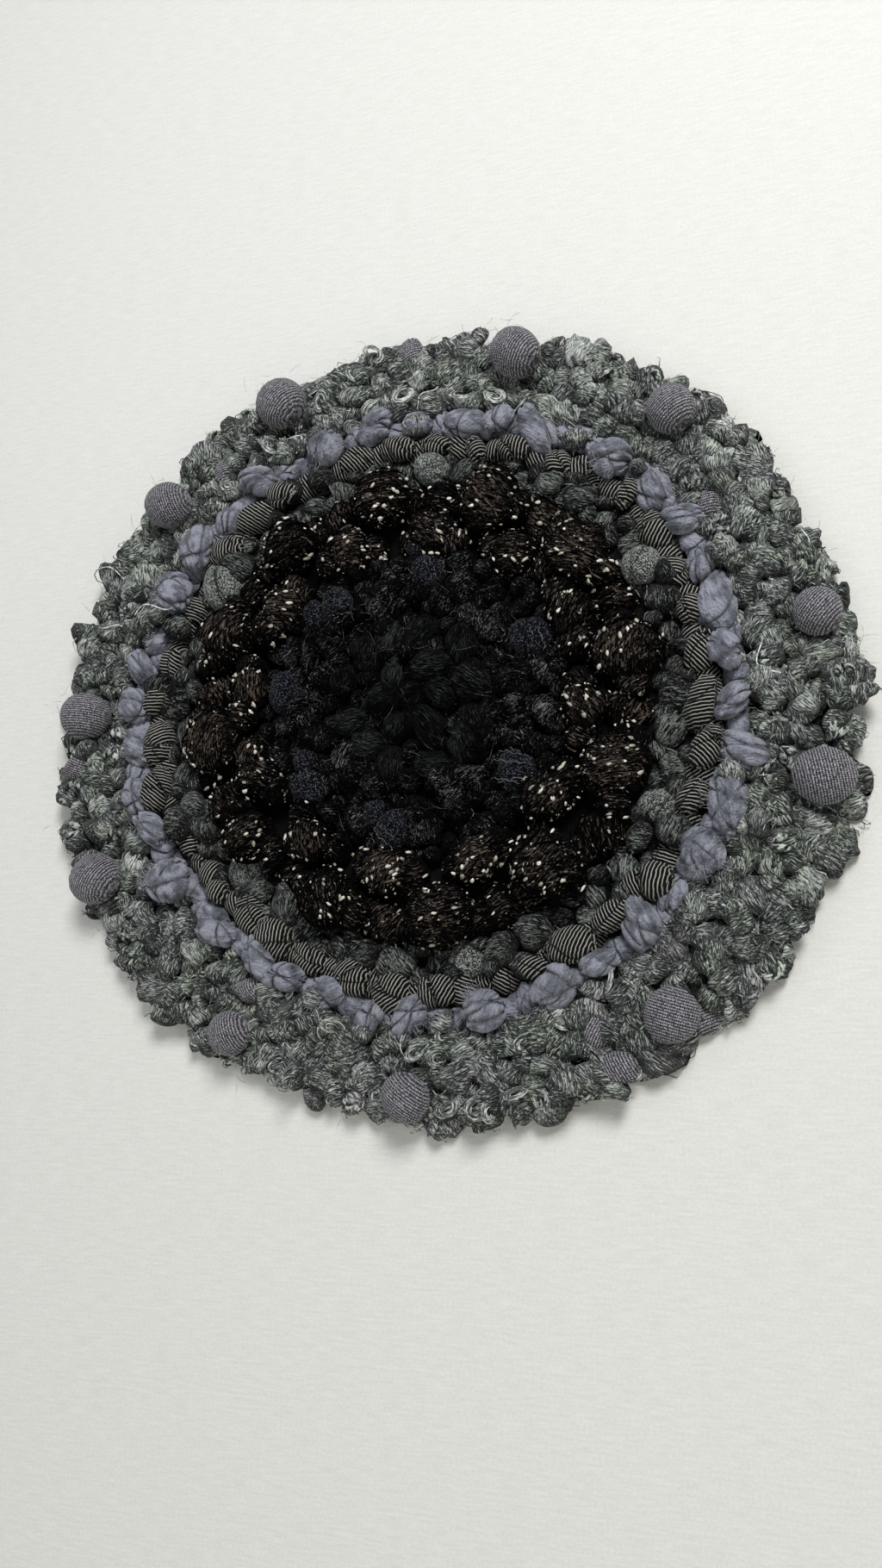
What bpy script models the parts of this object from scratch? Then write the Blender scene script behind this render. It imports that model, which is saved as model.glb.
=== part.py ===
"""A round wall hanging, thick and lumpy, of wool, slub yarn, jersey and rag strip, in metres.

It hangs flat on a wall. X is to the right and Z is up. The wall is the plane Y = 0, and the front faces -Y.
The origin is the hanging point, on the back just below the top edge.

Each round of yarn or rag is one ring-shaped solid, whose knots are raised from a flat ground. The wound
balls and the big knots are sewn on top of the ground, each a solid of its own. Everything is laid out on
true circles and then drawn a little out of round, as such a piece is when it is worked by hand.
"""

import math
import random
from collections import namedtuple

import bmesh
import bpy
from mathutils import Vector

MM = 0.001

# Driving dimensions, in millimetres.
OUTLINE_RADIUS = 338.0
HANGING_POINT_BELOW_TOP = 16.0
GROUND = 12.0
CLEARANCE = 0.3
BALL_SEAT_MARGIN = 4.0
BALL_SEAT_SLOPE = 1.2
LEAST_RISE = 3.0
KNOT_SHIFT = 1.8
KNOT_HEIGHT_SPREAD = 0.24
YARN_ROUGHNESS = 0.93
SHARP_FOLD_DEGREES = 50
WELD = 0.001
SEED = 11

# The rounds from the middle outwards: the radii between their rows of knots, the knots in each row, the
# steps that the circle is cut into, whether every other row is turned by half a knot, the height that a
# knot rises from the ground, and the tiers of its dome.
Round = namedtuple("Round", "name radii knots steps staggered rise tiers colour")
ROUNDS = (
    Round("black_pile", (0, 18, 45, 73, 100, 128), (1, 6, 12, 24, 24), 24, True, 18, 1, (0.01, 0.011, 0.012)),
    Round("slub_ground", (128, 165, 204), (24, 24), 48, False, 29, 3, (0.014, 0.011, 0.010)),
    Round("tweed_round", (204, 228), (48,), 96, False, 15, 1, (0.055, 0.062, 0.058)),
    Round("striped_rope", (228, 248), (40,), 80, False, 18, 1, (0.10, 0.098, 0.088)),
    Round("rag_rope", (248, 272), (42,), 84, False, 21, 2, (0.135, 0.13, 0.165)),
    Round("wool_field", (272, 294, 316, OUTLINE_RADIUS), (60, 60, 60), 120, True, 16, 1, (0.21, 0.225, 0.21)),
)
# A dome's tiers: how far each is inset, as a share of the knot's narrow side, and how far it rises, as a
# share of the dome's height.
DOME_TIERS = {
    1: ((0.2, 0.78),),
    2: ((0.12, 0.6), (0.15, 0.28)),
    3: ((0.08, 0.5), (0.11, 0.3), (0.14, 0.15)),
}

# A face looks out of the front or the back when its normal has at least this much of Y in it.
FACE_ON = 0.9

# The rim: how far a knot's middle bulges past its ends, how unlike the bulges are, the height of the rim's
# widest line, and how far its foot is tucked in. Some of its knots end in a loose lock.
RIM_BULGE = 2.6
RIM_BULGE_SHARES = (0.4, 1.5)
RIM_WIDEST_HEIGHT = 5.0
RIM_FOOT_TUCK = 5.0
RIM_LOCKS = 7
RIM_LOCK_LENGTH = 14.0
RIM_LOCK_TAPER = 0.8
RIM_LOCK_LEAN = 0.4
RIM_LOCK_STRAY = 0.6

# Sewn balls and knots: how many of each there are, the circle that they sit on, their radius seen from the
# front, their depth as a share of it, how unlike they are, the sides and tiers of their mesh, how lumpy
# they are, and the first one's angle.
Balls = namedtuple("Balls", "name count circle radius depth spread sides tiers lumps first colour")
BALLS = (
    Balls("slub_ball_large", 12, 182, 29.0, 0.8, 0.04, 11, 7, 0.05, 7.5, (0.016, 0.012, 0.011)),
    Balls("slub_ball_small", 12, 147, 22.5, 0.84, 0.04, 10, 6, 0.05, 22.5, (0.016, 0.012, 0.011)),
    Balls("jersey_ball", 11, 321, 21.5, 0.92, 0.12, 12, 7, 0.012, 12, (0.15, 0.145, 0.16)),
    Balls("rag_knot", 6, 260, 20.5, 0.82, 0.1, 10, 7, 0.12, 40, (0.15, 0.145, 0.18)),
    Balls("boucle_nub", 7, 113, 13.5, 0.9, 0.06, 8, 6, 0.06, 22.5, (0.028, 0.03, 0.042)),
)
# How unevenly each kind is spaced: how far a ball strays along its circle, as a share of the even pitch, how
# far it strays from the circle, and the angle from one knot below to the next where it takes a knot's place.
Spacing = namedtuple("Spacing", "along across knot_pitch")
SPACINGS = {
    "slub_ball_large": Spacing(0.02, 1.0, None),
    "slub_ball_small": Spacing(0.02, 1.0, None),
    "jersey_ball": Spacing(0.4, 5.0, None),
    "rag_knot": Spacing(0.4, 3.0, None),
    "boucle_nub": Spacing(0.6, 1.0, 15.0),
}
# The share of its radius at which a ball is pressed flat where it is sewn down, and the sizes of the two
# waves that make it lumpy.
BALL_FLAT = 0.8
BALL_WAVES = (0.6, 0.36)

# The hand's unevenness: waves round the whole piece and short ones at its rim alone (count, height in
# millimetres, phase), how steeply the short ones die away inwards, and the shift of the middle.
OUTLINE_WAVES = ((2, 5.0, 0.6), (3, 4.0, 2.1), (4, 2.5, 4.0), (5, 2.0, 1.0))
RIM_WAVES = ((9, 2.2, 0.4), (14, 1.8, 2.9), (23, 1.6, 5.1))
RIM_WAVE_POWER = 9
MIDDLE_SHIFT = (-8.0, 6.0)

Seat = namedtuple("Seat", "kind number x z radius")


def clear_scene():
    for old in list(bpy.data.objects):
        bpy.data.objects.remove(old, do_unlink=True)


def material(name, colour):
    made = bpy.data.materials.new(name)
    made.use_nodes = True
    shader = made.node_tree.nodes["Principled BSDF"]
    shader.inputs["Base Color"].default_value = (*colour, 1.0)
    shader.inputs["Roughness"].default_value = YARN_ROUGHNESS
    shader.inputs["Metallic"].default_value = 0.0
    return made


def wave_at(angle, waves):
    return sum(height * math.cos(count * angle + phase) for count, height, phase in waves)


def drawn_out_of_round(x, z):
    """Where the hand's unevenness takes a point of the true circles, in millimetres."""
    radius, angle = math.hypot(x, z), math.atan2(z, x)
    share = min(1.0, radius / OUTLINE_RADIUS)
    whole = share * share * wave_at(angle, OUTLINE_WAVES)
    rim = share**RIM_WAVE_POWER * wave_at(angle, RIM_WAVES)
    stretch = 1.0 + (whole + rim) / OUTLINE_RADIUS
    middle = 1.0 - share * share
    return x * stretch + MIDDLE_SHIFT[0] * middle, z * stretch + MIDDLE_SHIFT[1] * middle


def finish(name, bm, colour):
    """Takes a mesh from millimetres on true circles to its place, and makes it an object."""
    up = math.pi / 2
    centre_height = HANGING_POINT_BELOW_TOP - OUTLINE_RADIUS - wave_at(up, OUTLINE_WAVES + RIM_WAVES)
    for vertex in bm.verts:
        x, z = drawn_out_of_round(vertex.co.x, vertex.co.z)
        vertex.co = Vector((x, vertex.co.y, z + centre_height)) * MM
    mesh = bpy.data.meshes.new(name)
    bm.to_mesh(mesh)
    bm.free()
    mesh.shade_smooth()
    mesh.set_sharp_from_angle(angle=math.radians(SHARP_FOLD_DEGREES))
    mesh.materials.append(material(name, colour))
    made = bpy.data.objects.new(name, mesh)
    bpy.context.scene.collection.objects.link(made)


def ball_seats(rng):
    """Where each sewn ball sits, with its own radius."""
    seats = []
    for kind in BALLS:
        spacing = SPACINGS[kind.name]
        for number in range(kind.count):
            stray = rng.uniform(-0.5, 0.5) * spacing.along
            degrees = kind.first + 360 / kind.count * (number + stray)
            if spacing.knot_pitch:
                degrees = (math.floor(degrees / spacing.knot_pitch) + 0.5) * spacing.knot_pitch
            angle = math.radians(degrees)
            circle = kind.circle + rng.uniform(-1, 1) * spacing.across
            radius = kind.radius * (1 + rng.uniform(-1, 1) * kind.spread)
            seats.append(Seat(kind, number, circle * math.cos(angle), circle * math.sin(angle), radius))
    return seats


def ring_profile(inner, radii, rim):
    """The closed outline of a ring's section, from its foot at the inner wall, as (radius, height) pairs."""
    front = [(radius, GROUND) for radius in (inner, *radii[1:])]
    outer = radii[-1]
    if rim:
        return [(inner, 0), *front, (outer, RIM_WIDEST_HEIGHT), (outer - RIM_FOOT_TUCK, 0)]
    return [(inner, 0), *front, (outer, 0)]


def spun(profile, closed, steps):
    """The section turned about the hanging's axis, which is Y."""
    bm = bmesh.new()
    points = [bm.verts.new((radius, -height, 0)) for radius, height in profile]
    edges = [bm.edges.new(pair) for pair in zip(points, points[1:])]
    if closed:
        edges.append(bm.edges.new((points[-1], points[0])))
    turned = points + edges
    bmesh.ops.spin(bm, geom=turned, axis=(0, 1, 0), angle=2 * math.pi, steps=steps, use_merge=True)
    bmesh.ops.remove_doubles(bm, verts=bm.verts, dist=WELD)
    bmesh.ops.recalc_face_normals(bm, faces=bm.faces)
    return bm


def knot_cells(bm, this):
    """Joins the front faces into one face for each knot."""
    groups = {}
    for face in bm.faces:
        if face.normal.y > -FACE_ON:
            continue
        middle = face.calc_center_median()
        radius = math.hypot(middle.x, middle.z)
        row = sum(radius > edge for edge in this.radii[1:-1])
        step = int(math.atan2(middle.z, middle.x) / (2 * math.pi) * this.steps % this.steps)
        each = this.steps // this.knots[row]
        turned = each // 2 if this.staggered and row % 2 else 0
        knot = (step + turned) % this.steps // each
        groups.setdefault((row, knot), []).append(face)
    cells = []
    for key in sorted(groups):
        group = groups[key]
        if len(group) > 1:
            group = bmesh.ops.dissolve_faces(bm, faces=group, use_verts=False)["region"]
        cells.append((key[0], group[0]))
    return cells


def clear_of_seats(seats, place):
    """How far a place is from the edge of the nearest ball, seen from the front."""
    return min(math.hypot(place.x - seat.x, place.z - seat.z) - seat.radius for seat in seats)


def raise_knot(bm, cell, narrow_side, rise, tiers, shift):
    """Raises one cell of the ground into a dome, whose top leans a little to one side."""
    known = set(bm.verts)
    for inset_share, rise_share in DOME_TIERS[tiers]:
        inset, step = inset_share * narrow_side, rise_share * rise
        bmesh.ops.inset_individual(bm, faces=[cell], thickness=inset, depth=step, use_even_offset=True)
    left_over = rise * (1 - sum(share for _, share in DOME_TIERS[tiers]))
    bmesh.ops.poke(bm, faces=[cell], offset=left_over)
    for vertex in set(bm.verts) - known:
        vertex.co += shift * (-vertex.co.y - GROUND) / rise


def bulge_rim(bm, this, rng):
    """Scallops the rim, with one bulge for each knot of the last row."""
    each = 2 * math.pi / this.knots[-1]
    uneven = [rng.uniform(*RIM_BULGE_SHARES) for _ in range(this.knots[-1])]
    for vertex in bm.verts:
        radius = math.hypot(vertex.co.x, vertex.co.z)
        if radius < this.radii[-1] - RIM_FOOT_TUCK - 1:
            continue
        turn = math.atan2(vertex.co.z, vertex.co.x) % (2 * math.pi) / each
        between_knots = abs(turn - round(turn)) < 1 / this.steps
        size = 1.0 if between_knots else uneven[int(turn) % this.knots[-1]]
        scale = 1 - size * RIM_BULGE * math.cos(2 * math.pi * turn) / radius
        vertex.co.x *= scale
        vertex.co.z *= scale


def draw_rim_locks(bm, this, seats, rng):
    """Draws a loose lock out of the rim in a few places, clear of the balls."""
    wall = [
        face
        for face in bm.faces
        if abs(face.normal.y) < FACE_ON
        and math.hypot(*face.calc_center_median().xz) > this.radii[-1] - RIM_FOOT_TUCK
        and -face.calc_center_median().y > RIM_WIDEST_HEIGHT
    ]
    wall = [face for face in wall if clear_of_seats(seats, face.calc_center_median()) > RIM_LOCK_LENGTH]
    wall.sort(key=lambda face: math.atan2(face.calc_center_median().z, face.calc_center_median().x))
    for number in range(RIM_LOCKS):
        stray = rng.uniform(0.0, RIM_LOCK_STRAY)
        face = wall[int((number + stray) * len(wall) / RIM_LOCKS)]
        out = face.calc_center_median()
        out.y = 0
        out.normalize()
        side = Vector((0, 1, 0)).cross(out) * rng.uniform(-RIM_LOCK_LEAN, RIM_LOCK_LEAN)
        for _ in range(2):
            face = lengthened(bm, face, (out + side) * RIM_LOCK_LENGTH / 2)


def lengthened(bm, face, step):
    """Draws a face out by one step and narrows its end."""
    drawn = bmesh.ops.extrude_face_region(bm, geom=[face])["geom"]
    end = next(item for item in drawn if isinstance(item, bmesh.types.BMFace))
    if face.is_valid:
        bmesh.ops.delete(bm, geom=[face], context="FACES_ONLY")
    middle = end.calc_center_median()
    for vertex in end.verts:
        vertex.co = middle + (vertex.co - middle) * RIM_LOCK_TAPER + step
    return end


def round_of_knots(this, seats, rng):
    """One round: a flat ring, its front raised into knots except where a ball is sewn on."""
    rim = this.radii[-1] == OUTLINE_RADIUS
    if this.radii[0] == 0:
        front = [(radius, GROUND) for radius in this.radii]
        profile = [*front, (this.radii[-1], 0), (0, 0)]
    else:
        inner = (this.radii[0] + CLEARANCE) / math.cos(math.pi / this.steps)
        profile = ring_profile(inner, this.radii, rim)
    bm = spun(profile, this.radii[0] > 0, this.steps)
    for row, cell in knot_cells(bm, this):
        middle = cell.calc_center_median()
        depth = this.radii[row + 1] - this.radii[row]
        width = 2 * math.pi * math.hypot(middle.x, middle.z) / this.knots[row]
        # The middle knot is a whole disc, whose middle is on the axis.
        narrow_side = min(depth, width) if row or this.radii[0] else 2 * this.radii[1]
        rise = this.rise * (1 + rng.uniform(-1, 1) * KNOT_HEIGHT_SPREAD)
        shift = Vector((rng.uniform(-1, 1), 0, rng.uniform(-1, 1))) * KNOT_SHIFT
        if clear_of_seats(seats, middle) < 0:
            continue
        raise_knot(bm, cell, narrow_side, rise, this.tiers, shift)
    for vertex in bm.verts:
        if -vertex.co.y > GROUND:
            room = max(0.0, clear_of_seats(seats, vertex.co) - BALL_SEAT_MARGIN) * BALL_SEAT_SLOPE
            rise = min(-vertex.co.y - GROUND, room)
            vertex.co.y = -GROUND - (rise if rise > LEAST_RISE else 0.0)
    if rim:
        bulge_rim(bm, this, rng)
        draw_rim_locks(bm, this, seats, rng)
    finish(this.name, bm, this.colour)


def sewn_ball(seat, rng):
    """A wound ball or big knot, lumpy, and pressed flat where it is sewn to the ground."""
    kind = seat.kind
    bm = bmesh.new()
    bmesh.ops.create_uvsphere(bm, u_segments=kind.sides, v_segments=kind.tiers, radius=1.0)
    phases = [rng.uniform(0, 2 * math.pi) for _ in BALL_WAVES]
    foot = GROUND + CLEARANCE
    centre_height = foot + BALL_FLAT * seat.radius * kind.depth
    for vertex in bm.verts:
        around = math.atan2(vertex.co.y, vertex.co.x)
        level = vertex.co.z
        waist = math.sqrt(max(0.0, 1 - level * level))
        three = BALL_WAVES[0] * waist * math.cos(3 * around + phases[0])
        two = BALL_WAVES[1] * math.cos(2 * around + 3 * level + phases[1])
        size = seat.radius * (1 + kind.lumps * (three + two - 1))
        height = max(foot, centre_height + size * kind.depth * level)
        vertex.co = Vector((seat.x + size * vertex.co.x, -height, seat.z + size * vertex.co.y))
    name = f"{kind.name}_{seat.number + 1:02d}"
    finish(name, bm, kind.colour)


def main():
    clear_scene()
    rng = random.Random(SEED)
    seats = ball_seats(rng)
    for this in ROUNDS:
        round_of_knots(this, seats, rng)
    for seat in seats:
        sewn_ball(seat, rng)


main()
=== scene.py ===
import functools
import math
from collections import namedtuple

import bmesh
import bpy
import numpy as np
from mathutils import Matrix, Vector
from mathutils.bvhtree import BVHTree


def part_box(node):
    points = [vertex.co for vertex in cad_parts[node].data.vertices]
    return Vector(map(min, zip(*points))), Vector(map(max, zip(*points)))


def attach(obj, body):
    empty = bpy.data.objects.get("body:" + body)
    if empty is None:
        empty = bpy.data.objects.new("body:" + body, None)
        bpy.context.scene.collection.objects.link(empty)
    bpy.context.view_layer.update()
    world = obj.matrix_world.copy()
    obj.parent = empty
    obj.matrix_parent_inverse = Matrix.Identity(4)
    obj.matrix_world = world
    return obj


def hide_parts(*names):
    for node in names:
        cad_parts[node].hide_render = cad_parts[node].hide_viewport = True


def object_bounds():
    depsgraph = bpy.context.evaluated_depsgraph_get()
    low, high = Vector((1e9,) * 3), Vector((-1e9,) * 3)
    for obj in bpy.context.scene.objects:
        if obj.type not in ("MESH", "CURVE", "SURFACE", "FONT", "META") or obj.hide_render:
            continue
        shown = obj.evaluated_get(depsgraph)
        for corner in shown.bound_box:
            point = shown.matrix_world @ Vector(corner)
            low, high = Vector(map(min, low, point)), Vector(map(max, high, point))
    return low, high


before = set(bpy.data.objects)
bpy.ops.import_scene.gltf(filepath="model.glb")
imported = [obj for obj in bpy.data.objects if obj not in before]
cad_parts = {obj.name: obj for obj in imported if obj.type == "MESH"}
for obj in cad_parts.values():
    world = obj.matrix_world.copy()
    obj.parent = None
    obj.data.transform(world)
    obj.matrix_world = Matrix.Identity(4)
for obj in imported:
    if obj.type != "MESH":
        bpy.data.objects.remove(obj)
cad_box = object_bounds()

# The camera. The hanging is photographed on its wall from close by, a little from its right and from
# below, so it looks up at the piece. The piece's middle lies a little above the middle of the picture.
MM = 0.001
CAMERA_AZIMUTH = math.radians(17.5)
CAMERA_ELEVATION = math.radians(-12)
CAMERA_DISTANCE = 0.965
CAMERA_LENS = 26.7
MIDDLE_RIGHT_OF_PICTURE = -20 * MM
MIDDLE_ABOVE_PICTURE = 72 * MM

middle = (cad_box[0] + cad_box[1]) / 2
back = Vector((
    math.sin(CAMERA_AZIMUTH) * math.cos(CAMERA_ELEVATION),
    -math.cos(CAMERA_AZIMUTH) * math.cos(CAMERA_ELEVATION),
    math.sin(CAMERA_ELEVATION),
))
turned = (-back).to_track_quat("-Z", "Y")
aim = middle - turned @ Vector((MIDDLE_RIGHT_OF_PICTURE, MIDDLE_ABOVE_PICTURE, 0))
camera = bpy.data.objects.new("camera", bpy.data.cameras.new("camera"))
camera.data.lens = CAMERA_LENS
camera.data.sensor_width = 36
camera.location = aim + back * CAMERA_DISTANCE
camera.rotation_mode = "QUATERNION"
camera.rotation_quaternion = turned
bpy.context.scene.collection.objects.link(camera)
bpy.context.scene.camera = camera


# The middle: a deep pile of black boucle and mohair, crocheted in rounds as lumps of a thumb's width. It is
# worked on a cloth ground, on which every round of the piece is sewn down.
OUTLINE_RADIUS = 338.0
HANGING_POINT_BELOW_TOP = 16.0
OUTLINE_WAVES = ((2, 5.0, 0.6), (3, 4.0, 2.1), (4, 2.5, 4.0), (5, 2.0, 1.0))
RIM_WAVES = ((9, 2.2, 0.4), (14, 1.8, 2.9), (23, 1.6, 5.1))
RIM_WAVE_POWER = 9
MIDDLE_SHIFT = (-8.0, 6.0)
GROUND_FRONT = -12 * MM
GROUND_STEPS = 150
GROUND_ROW = 5.0
GROUND_ROW_DEPTH = 1.1
MIDDLE_OPENING = 0.01
GROUND_THICK = 11.0
FROM_WALL = np.array((0.0, -1.0, 0.0))
ALONG_WALL = (1, 0, 1)
LEAST_KNOT_HEIGHT = 4 * MM
KNOT_STRAY = (-3, 3)
ANY_LIE = (0, 3.1)
ANY_PHASE = (0, 6.3)
TOP_BEFORE_MIDDLE = 0.8
HEART_SHARE = 0.96
# How strongly the strand pattern shows in the colour: partly each strand's own shade, partly painted shade
# and highlight.
STRAND_TONE_AND_PAINTED_SHADE = 2.8
STRAND_STRETCH = 0.16
STRAND_RELIEF = 2.6
# Painted shade on every wound lump: its strands and wad are painted darker low down, where lumps sink
# between their neighbours, and a little lighter on top. How much, and the height on the lump where the paint
# turns.
PAINTED_SHADE_DOWN_BETWEEN = 0.42
PAINTED_SHADE_BELOW = 0.7
GLOSS_WITH_SHEEN = 0.7
ROW_WANDER = ((2, 4.5, 1.0), (3, 4.0, 4.0), (5, 3.0, 2.5))
A_LITTLE_FURTHER = 0.01
REAR_OF_LUMPS = -3 * MM

BLACK_PILE_RADII = (0, 18, 45, 73, 100, 128)
BLACK_PILE_KNOTS = (1, 6, 12, 24, 24)
BLACK_PILE_FIRST = (0.5, 0.0, 0.5, 0.5, 0.5)
BLACK_PILE_LUMP = (15.5, 12.5, 11.0)
PILE_STRAY = (1, 1.2, 1)
MOHAIR_ROWS = 3
BLACK_PILE_SMALL_LUMP = (10.5, 9.0, 8.5)
BLACK_PILE_LOW_ROW = (8, 20)
BOUCLE_THICK = 0.42 * MM
BOUCLE_LOOP = 1.5 * MM
MOHAIR_THICK = 0.3 * MM
HAZE_THICK = 0.15 * MM
HAZE_HALF_LENGTH = 8 * MM
HAZE_BEND = 2.5 * MM

Lump = namedtuple("Lump", "middle frame size bumps")


def linear(hex_colour):
    """The linear colour of an sRGB hex value."""
    shares = [int(hex_colour[at : at + 2], 16) / 255 for at in (1, 3, 5)]
    return (*(s / 12.92 if s <= 0.04045 else ((s + 0.055) / 1.055) ** 2.4 for s in shares), 1.0)


def add_node(tree, kind, feeds=None, out=0, stops=None, **settings):
    """Adds a shader node with its settings, values, links and colour stops, and gives one of its outputs."""
    made = tree.nodes.new("ShaderNode" + kind)
    for name, value in settings.items():
        setattr(made, name, value)
    for name, value in (feeds or {}).items():
        if isinstance(value, bpy.types.NodeSocket):
            tree.links.new(value, made.inputs[name])
        else:
            made.inputs[name].default_value = value
    for number, (place, colour) in enumerate(stops or ()):
        ramp = made.color_ramp.elements
        stop = ramp[number] if number < 2 else ramp.new(place)
        stop.position = place
        stop.color = linear(colour)
    return made.outputs[out]


def new_material(name, colour, roughness, sheen):
    """A cloth or yarn material, dull, with the sheen of loose fibres: it, its nodes, shader and places."""
    made = bpy.data.materials.new(name)
    made.use_nodes = True
    tree = made.node_tree
    shader = tree.nodes["Principled BSDF"]
    shader.inputs["Base Color"].default_value = linear(colour)
    shader.inputs["Roughness"].default_value = roughness
    shader.inputs["Sheen Weight"].default_value = sheen
    shader.inputs["Specular IOR Level"].default_value = GLOSS_WITH_SHEEN * sheen
    return made, tree, shader, add_node(tree, "TexCoord", out="Object")


def finish_surface(tree, shader, colour, height, strength, depth, **settings):
    """Gives a material its colour, and its pattern's height as relief."""
    tree.links.new(colour, shader.inputs["Base Color"])
    feeds = {"Height": height, "Strength": strength, "Distance": depth}
    tree.links.new(add_node(tree, "Bump", feeds, **settings), shader.inputs["Normal"])


def spun_yarn(name, shades, mottle, mottle_mm, strand_mm=1.0, roughness=0.85, sheen=0.2, curl=0.3):
    """Spun yarn: strands side by side, each with its own shade, mottled where other fibres come out.

    Real strands are half a millimetre wide or less. They are drawn about 1 mm wide, so that they show."""
    made, tree, shader, place = new_material(name, shades[1], roughness, sheen)
    laid = add_node(tree, "UVMap", uv_map="cloth")
    shade = add_node(tree, "Attribute", out="Fac", attribute_name="tone")
    fibres = add_node(tree, "TexNoise", {"Vector": place, "Scale": 1 / (mottle_mm * MM), "Detail": 2.0})
    scale = (STRAND_STRETCH / (strand_mm * MM), 1 / (strand_mm * MM), 1.0)
    along = add_node(tree, "Mapping", {"Vector": laid, "Scale": scale})
    feeds = {"Vector": along, "Scale": 1.0, "Detail": 2.0, "Distortion": curl}
    strands = add_node(tree, "TexNoise", feeds)
    # The strand pattern is also the yarn's relief. In the colour it is partly each strand's own shade, and
    # partly painted shade in the grooves between strands with a painted highlight on their crowns.
    for pattern, contrast in ((fibres, mottle), (strands, STRAND_TONE_AND_PAINTED_SHADE)):
        centred = add_node(tree, "Math", {0: pattern, 1: 0.5}, operation="SUBTRACT")
        shade = add_node(tree, "Math", {0: centred, 1: contrast, 2: shade}, operation="MULTIPLY_ADD")
    places = np.linspace(0, 1, len(shades))
    stops = [(places[at], shades[at]) for at in (0, -1, *range(1, len(shades) - 1))]
    colour = add_node(tree, "ValToRGB", {"Fac": shade}, stops=stops)
    height = add_node(tree, "Math", {0: fibres, 1: 0.4, 2: strands}, operation="MULTIPLY_ADD")
    finish_surface(tree, shader, colour, height, 1.0, STRAND_RELIEF * strand_mm * MM)
    return made


def waves_at(angle, waves):
    return sum(height * np.cos(count * angle + phase) for count, height, phase in waves)


def drawn_out_of_round(flat):
    """Takes places on true circles, in millimetres, to their places on the hand-worked piece, in metres."""
    radius = np.hypot(flat[:, 0], flat[:, 1])
    angle = np.arctan2(flat[:, 1], flat[:, 0])
    share = np.minimum(1, radius / OUTLINE_RADIUS)
    rim = share**RIM_WAVE_POWER * waves_at(angle, RIM_WAVES)
    stretch = 1 + (share**2 * waves_at(angle, OUTLINE_WAVES) + rim) / OUTLINE_RADIUS
    moved = flat * stretch[:, None] + (1 - share**2)[:, None] * MIDDLE_SHIFT
    height = HANGING_POINT_BELOW_TOP - OUTLINE_RADIUS - waves_at(math.pi / 2, OUTLINE_WAVES + RIM_WAVES)
    return np.stack([moved[:, 0], np.zeros(len(flat)), moved[:, 1] + height], axis=1) * MM


def unit(vectors):
    return vectors / np.linalg.norm(vectors, axis=-1, keepdims=True)


def front_of(node):
    """A function that gives how far the front of a solid stands at a place, as its Y."""
    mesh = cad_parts[node].data
    tree = BVHTree.FromPolygons([v.co for v in mesh.vertices], [p.vertices for p in mesh.polygons])

    def front(place):
        hit = tree.ray_cast(Vector((place[0], -1.0, place[2])), Vector((0, 1, 0)))[0]
        return hit.y if hit else GROUND_FRONT

    return front


def row_of_knots(front, inner, outer, knots, first=0.5, across=0.5):
    """Where each knot of a row sits, on the front of its round, with the way round the piece there."""
    angles = 2 * math.pi * (np.arange(knots) + first) / knots
    radius = (inner + (outer - inner) * across) * (knots > 1)
    here, ahead = (
        drawn_out_of_round(radius * np.stack([np.cos(turn), np.sin(turn)], axis=1))
        for turn in (angles, angles + A_LITTLE_FURTHER)
    )
    around = np.stack([-np.sin(angles), np.zeros(knots), np.cos(angles)], axis=1)
    around = around if radius == 0 else unit((ahead - here) * ALONG_WALL)
    here[:, 1] = [front(place) for place in here]
    wander = waves_at(angles, ROW_WANDER) * math.sin(math.pi * radius / OUTLINE_RADIUS) * MM
    return zip(here + wander[:, None] * np.cross(around, FROM_WALL), around)


def bumps_of(rng, height, fineness=2.4):
    """How a lump bulges: the ways that three waves run over it, their phases and their height."""
    return rng.normal(0, fineness, (3, 3)), rng.uniform(0, 2 * math.pi, 3), height


def bulged(lump, ball):
    """Points of a ball of radius one, pushed in and out where the lump bulges."""
    ways, phases, height = lump.bumps
    return ball * (1 + height * np.sin(ball @ ways + phases).sum(-1, keepdims=True))


def lump_at(place, around, size, rng, turn, lean=0.2, bumpy=0.04, fineness=2.4):
    """A lump whose top lies at a place: its middle, its directions along, across and out, and its size."""
    out = unit(FROM_WALL + rng.normal(0, lean, 3) * 0.6)
    along = math.cos(turn) * around + math.sin(turn) * np.cross(out, around)
    along = unit(along - (along @ out) * out)
    size = np.array(size) * MM * rng.uniform(0.88, 1.12, 3)
    axes = np.array([along, np.cross(out, along), out])
    return Lump(place - out * size[2] * TOP_BEFORE_MIDDLE, axes, size, bumps_of(rng, bumpy, fineness))


def taken_apart(bm):
    """A mesh's points and triangles, as arrays."""
    bmesh.ops.triangulate(bm, faces=bm.faces)
    bmesh.ops.recalc_face_normals(bm, faces=bm.faces)
    points = np.array([vertex.co for vertex in bm.verts])
    faces = np.array([[vertex.index for vertex in face.verts] for face in bm.faces])
    bm.free()
    return points, faces


@functools.lru_cache
def straight_yarn(sides, steps):
    """A straight, closed length of yarn: its faces, and each point's ring and angle about it."""
    bm = bmesh.new()
    bmesh.ops.create_cone(bm, cap_ends=True, segments=sides, radius1=1, radius2=1, depth=1)
    long_edges = [edge for edge in bm.edges if abs(edge.verts[0].co.z - edge.verts[1].co.z) > 0.5]
    bmesh.ops.subdivide_edges(bm, edges=long_edges, cuts=steps - 1, use_grid_fill=True)
    points, faces = taken_apart(bm)
    ring = np.rint((points[:, 2] + 0.5) * steps).astype(int)
    return faces, ring, np.arctan2(points[:, 1], points[:, 0])


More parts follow.
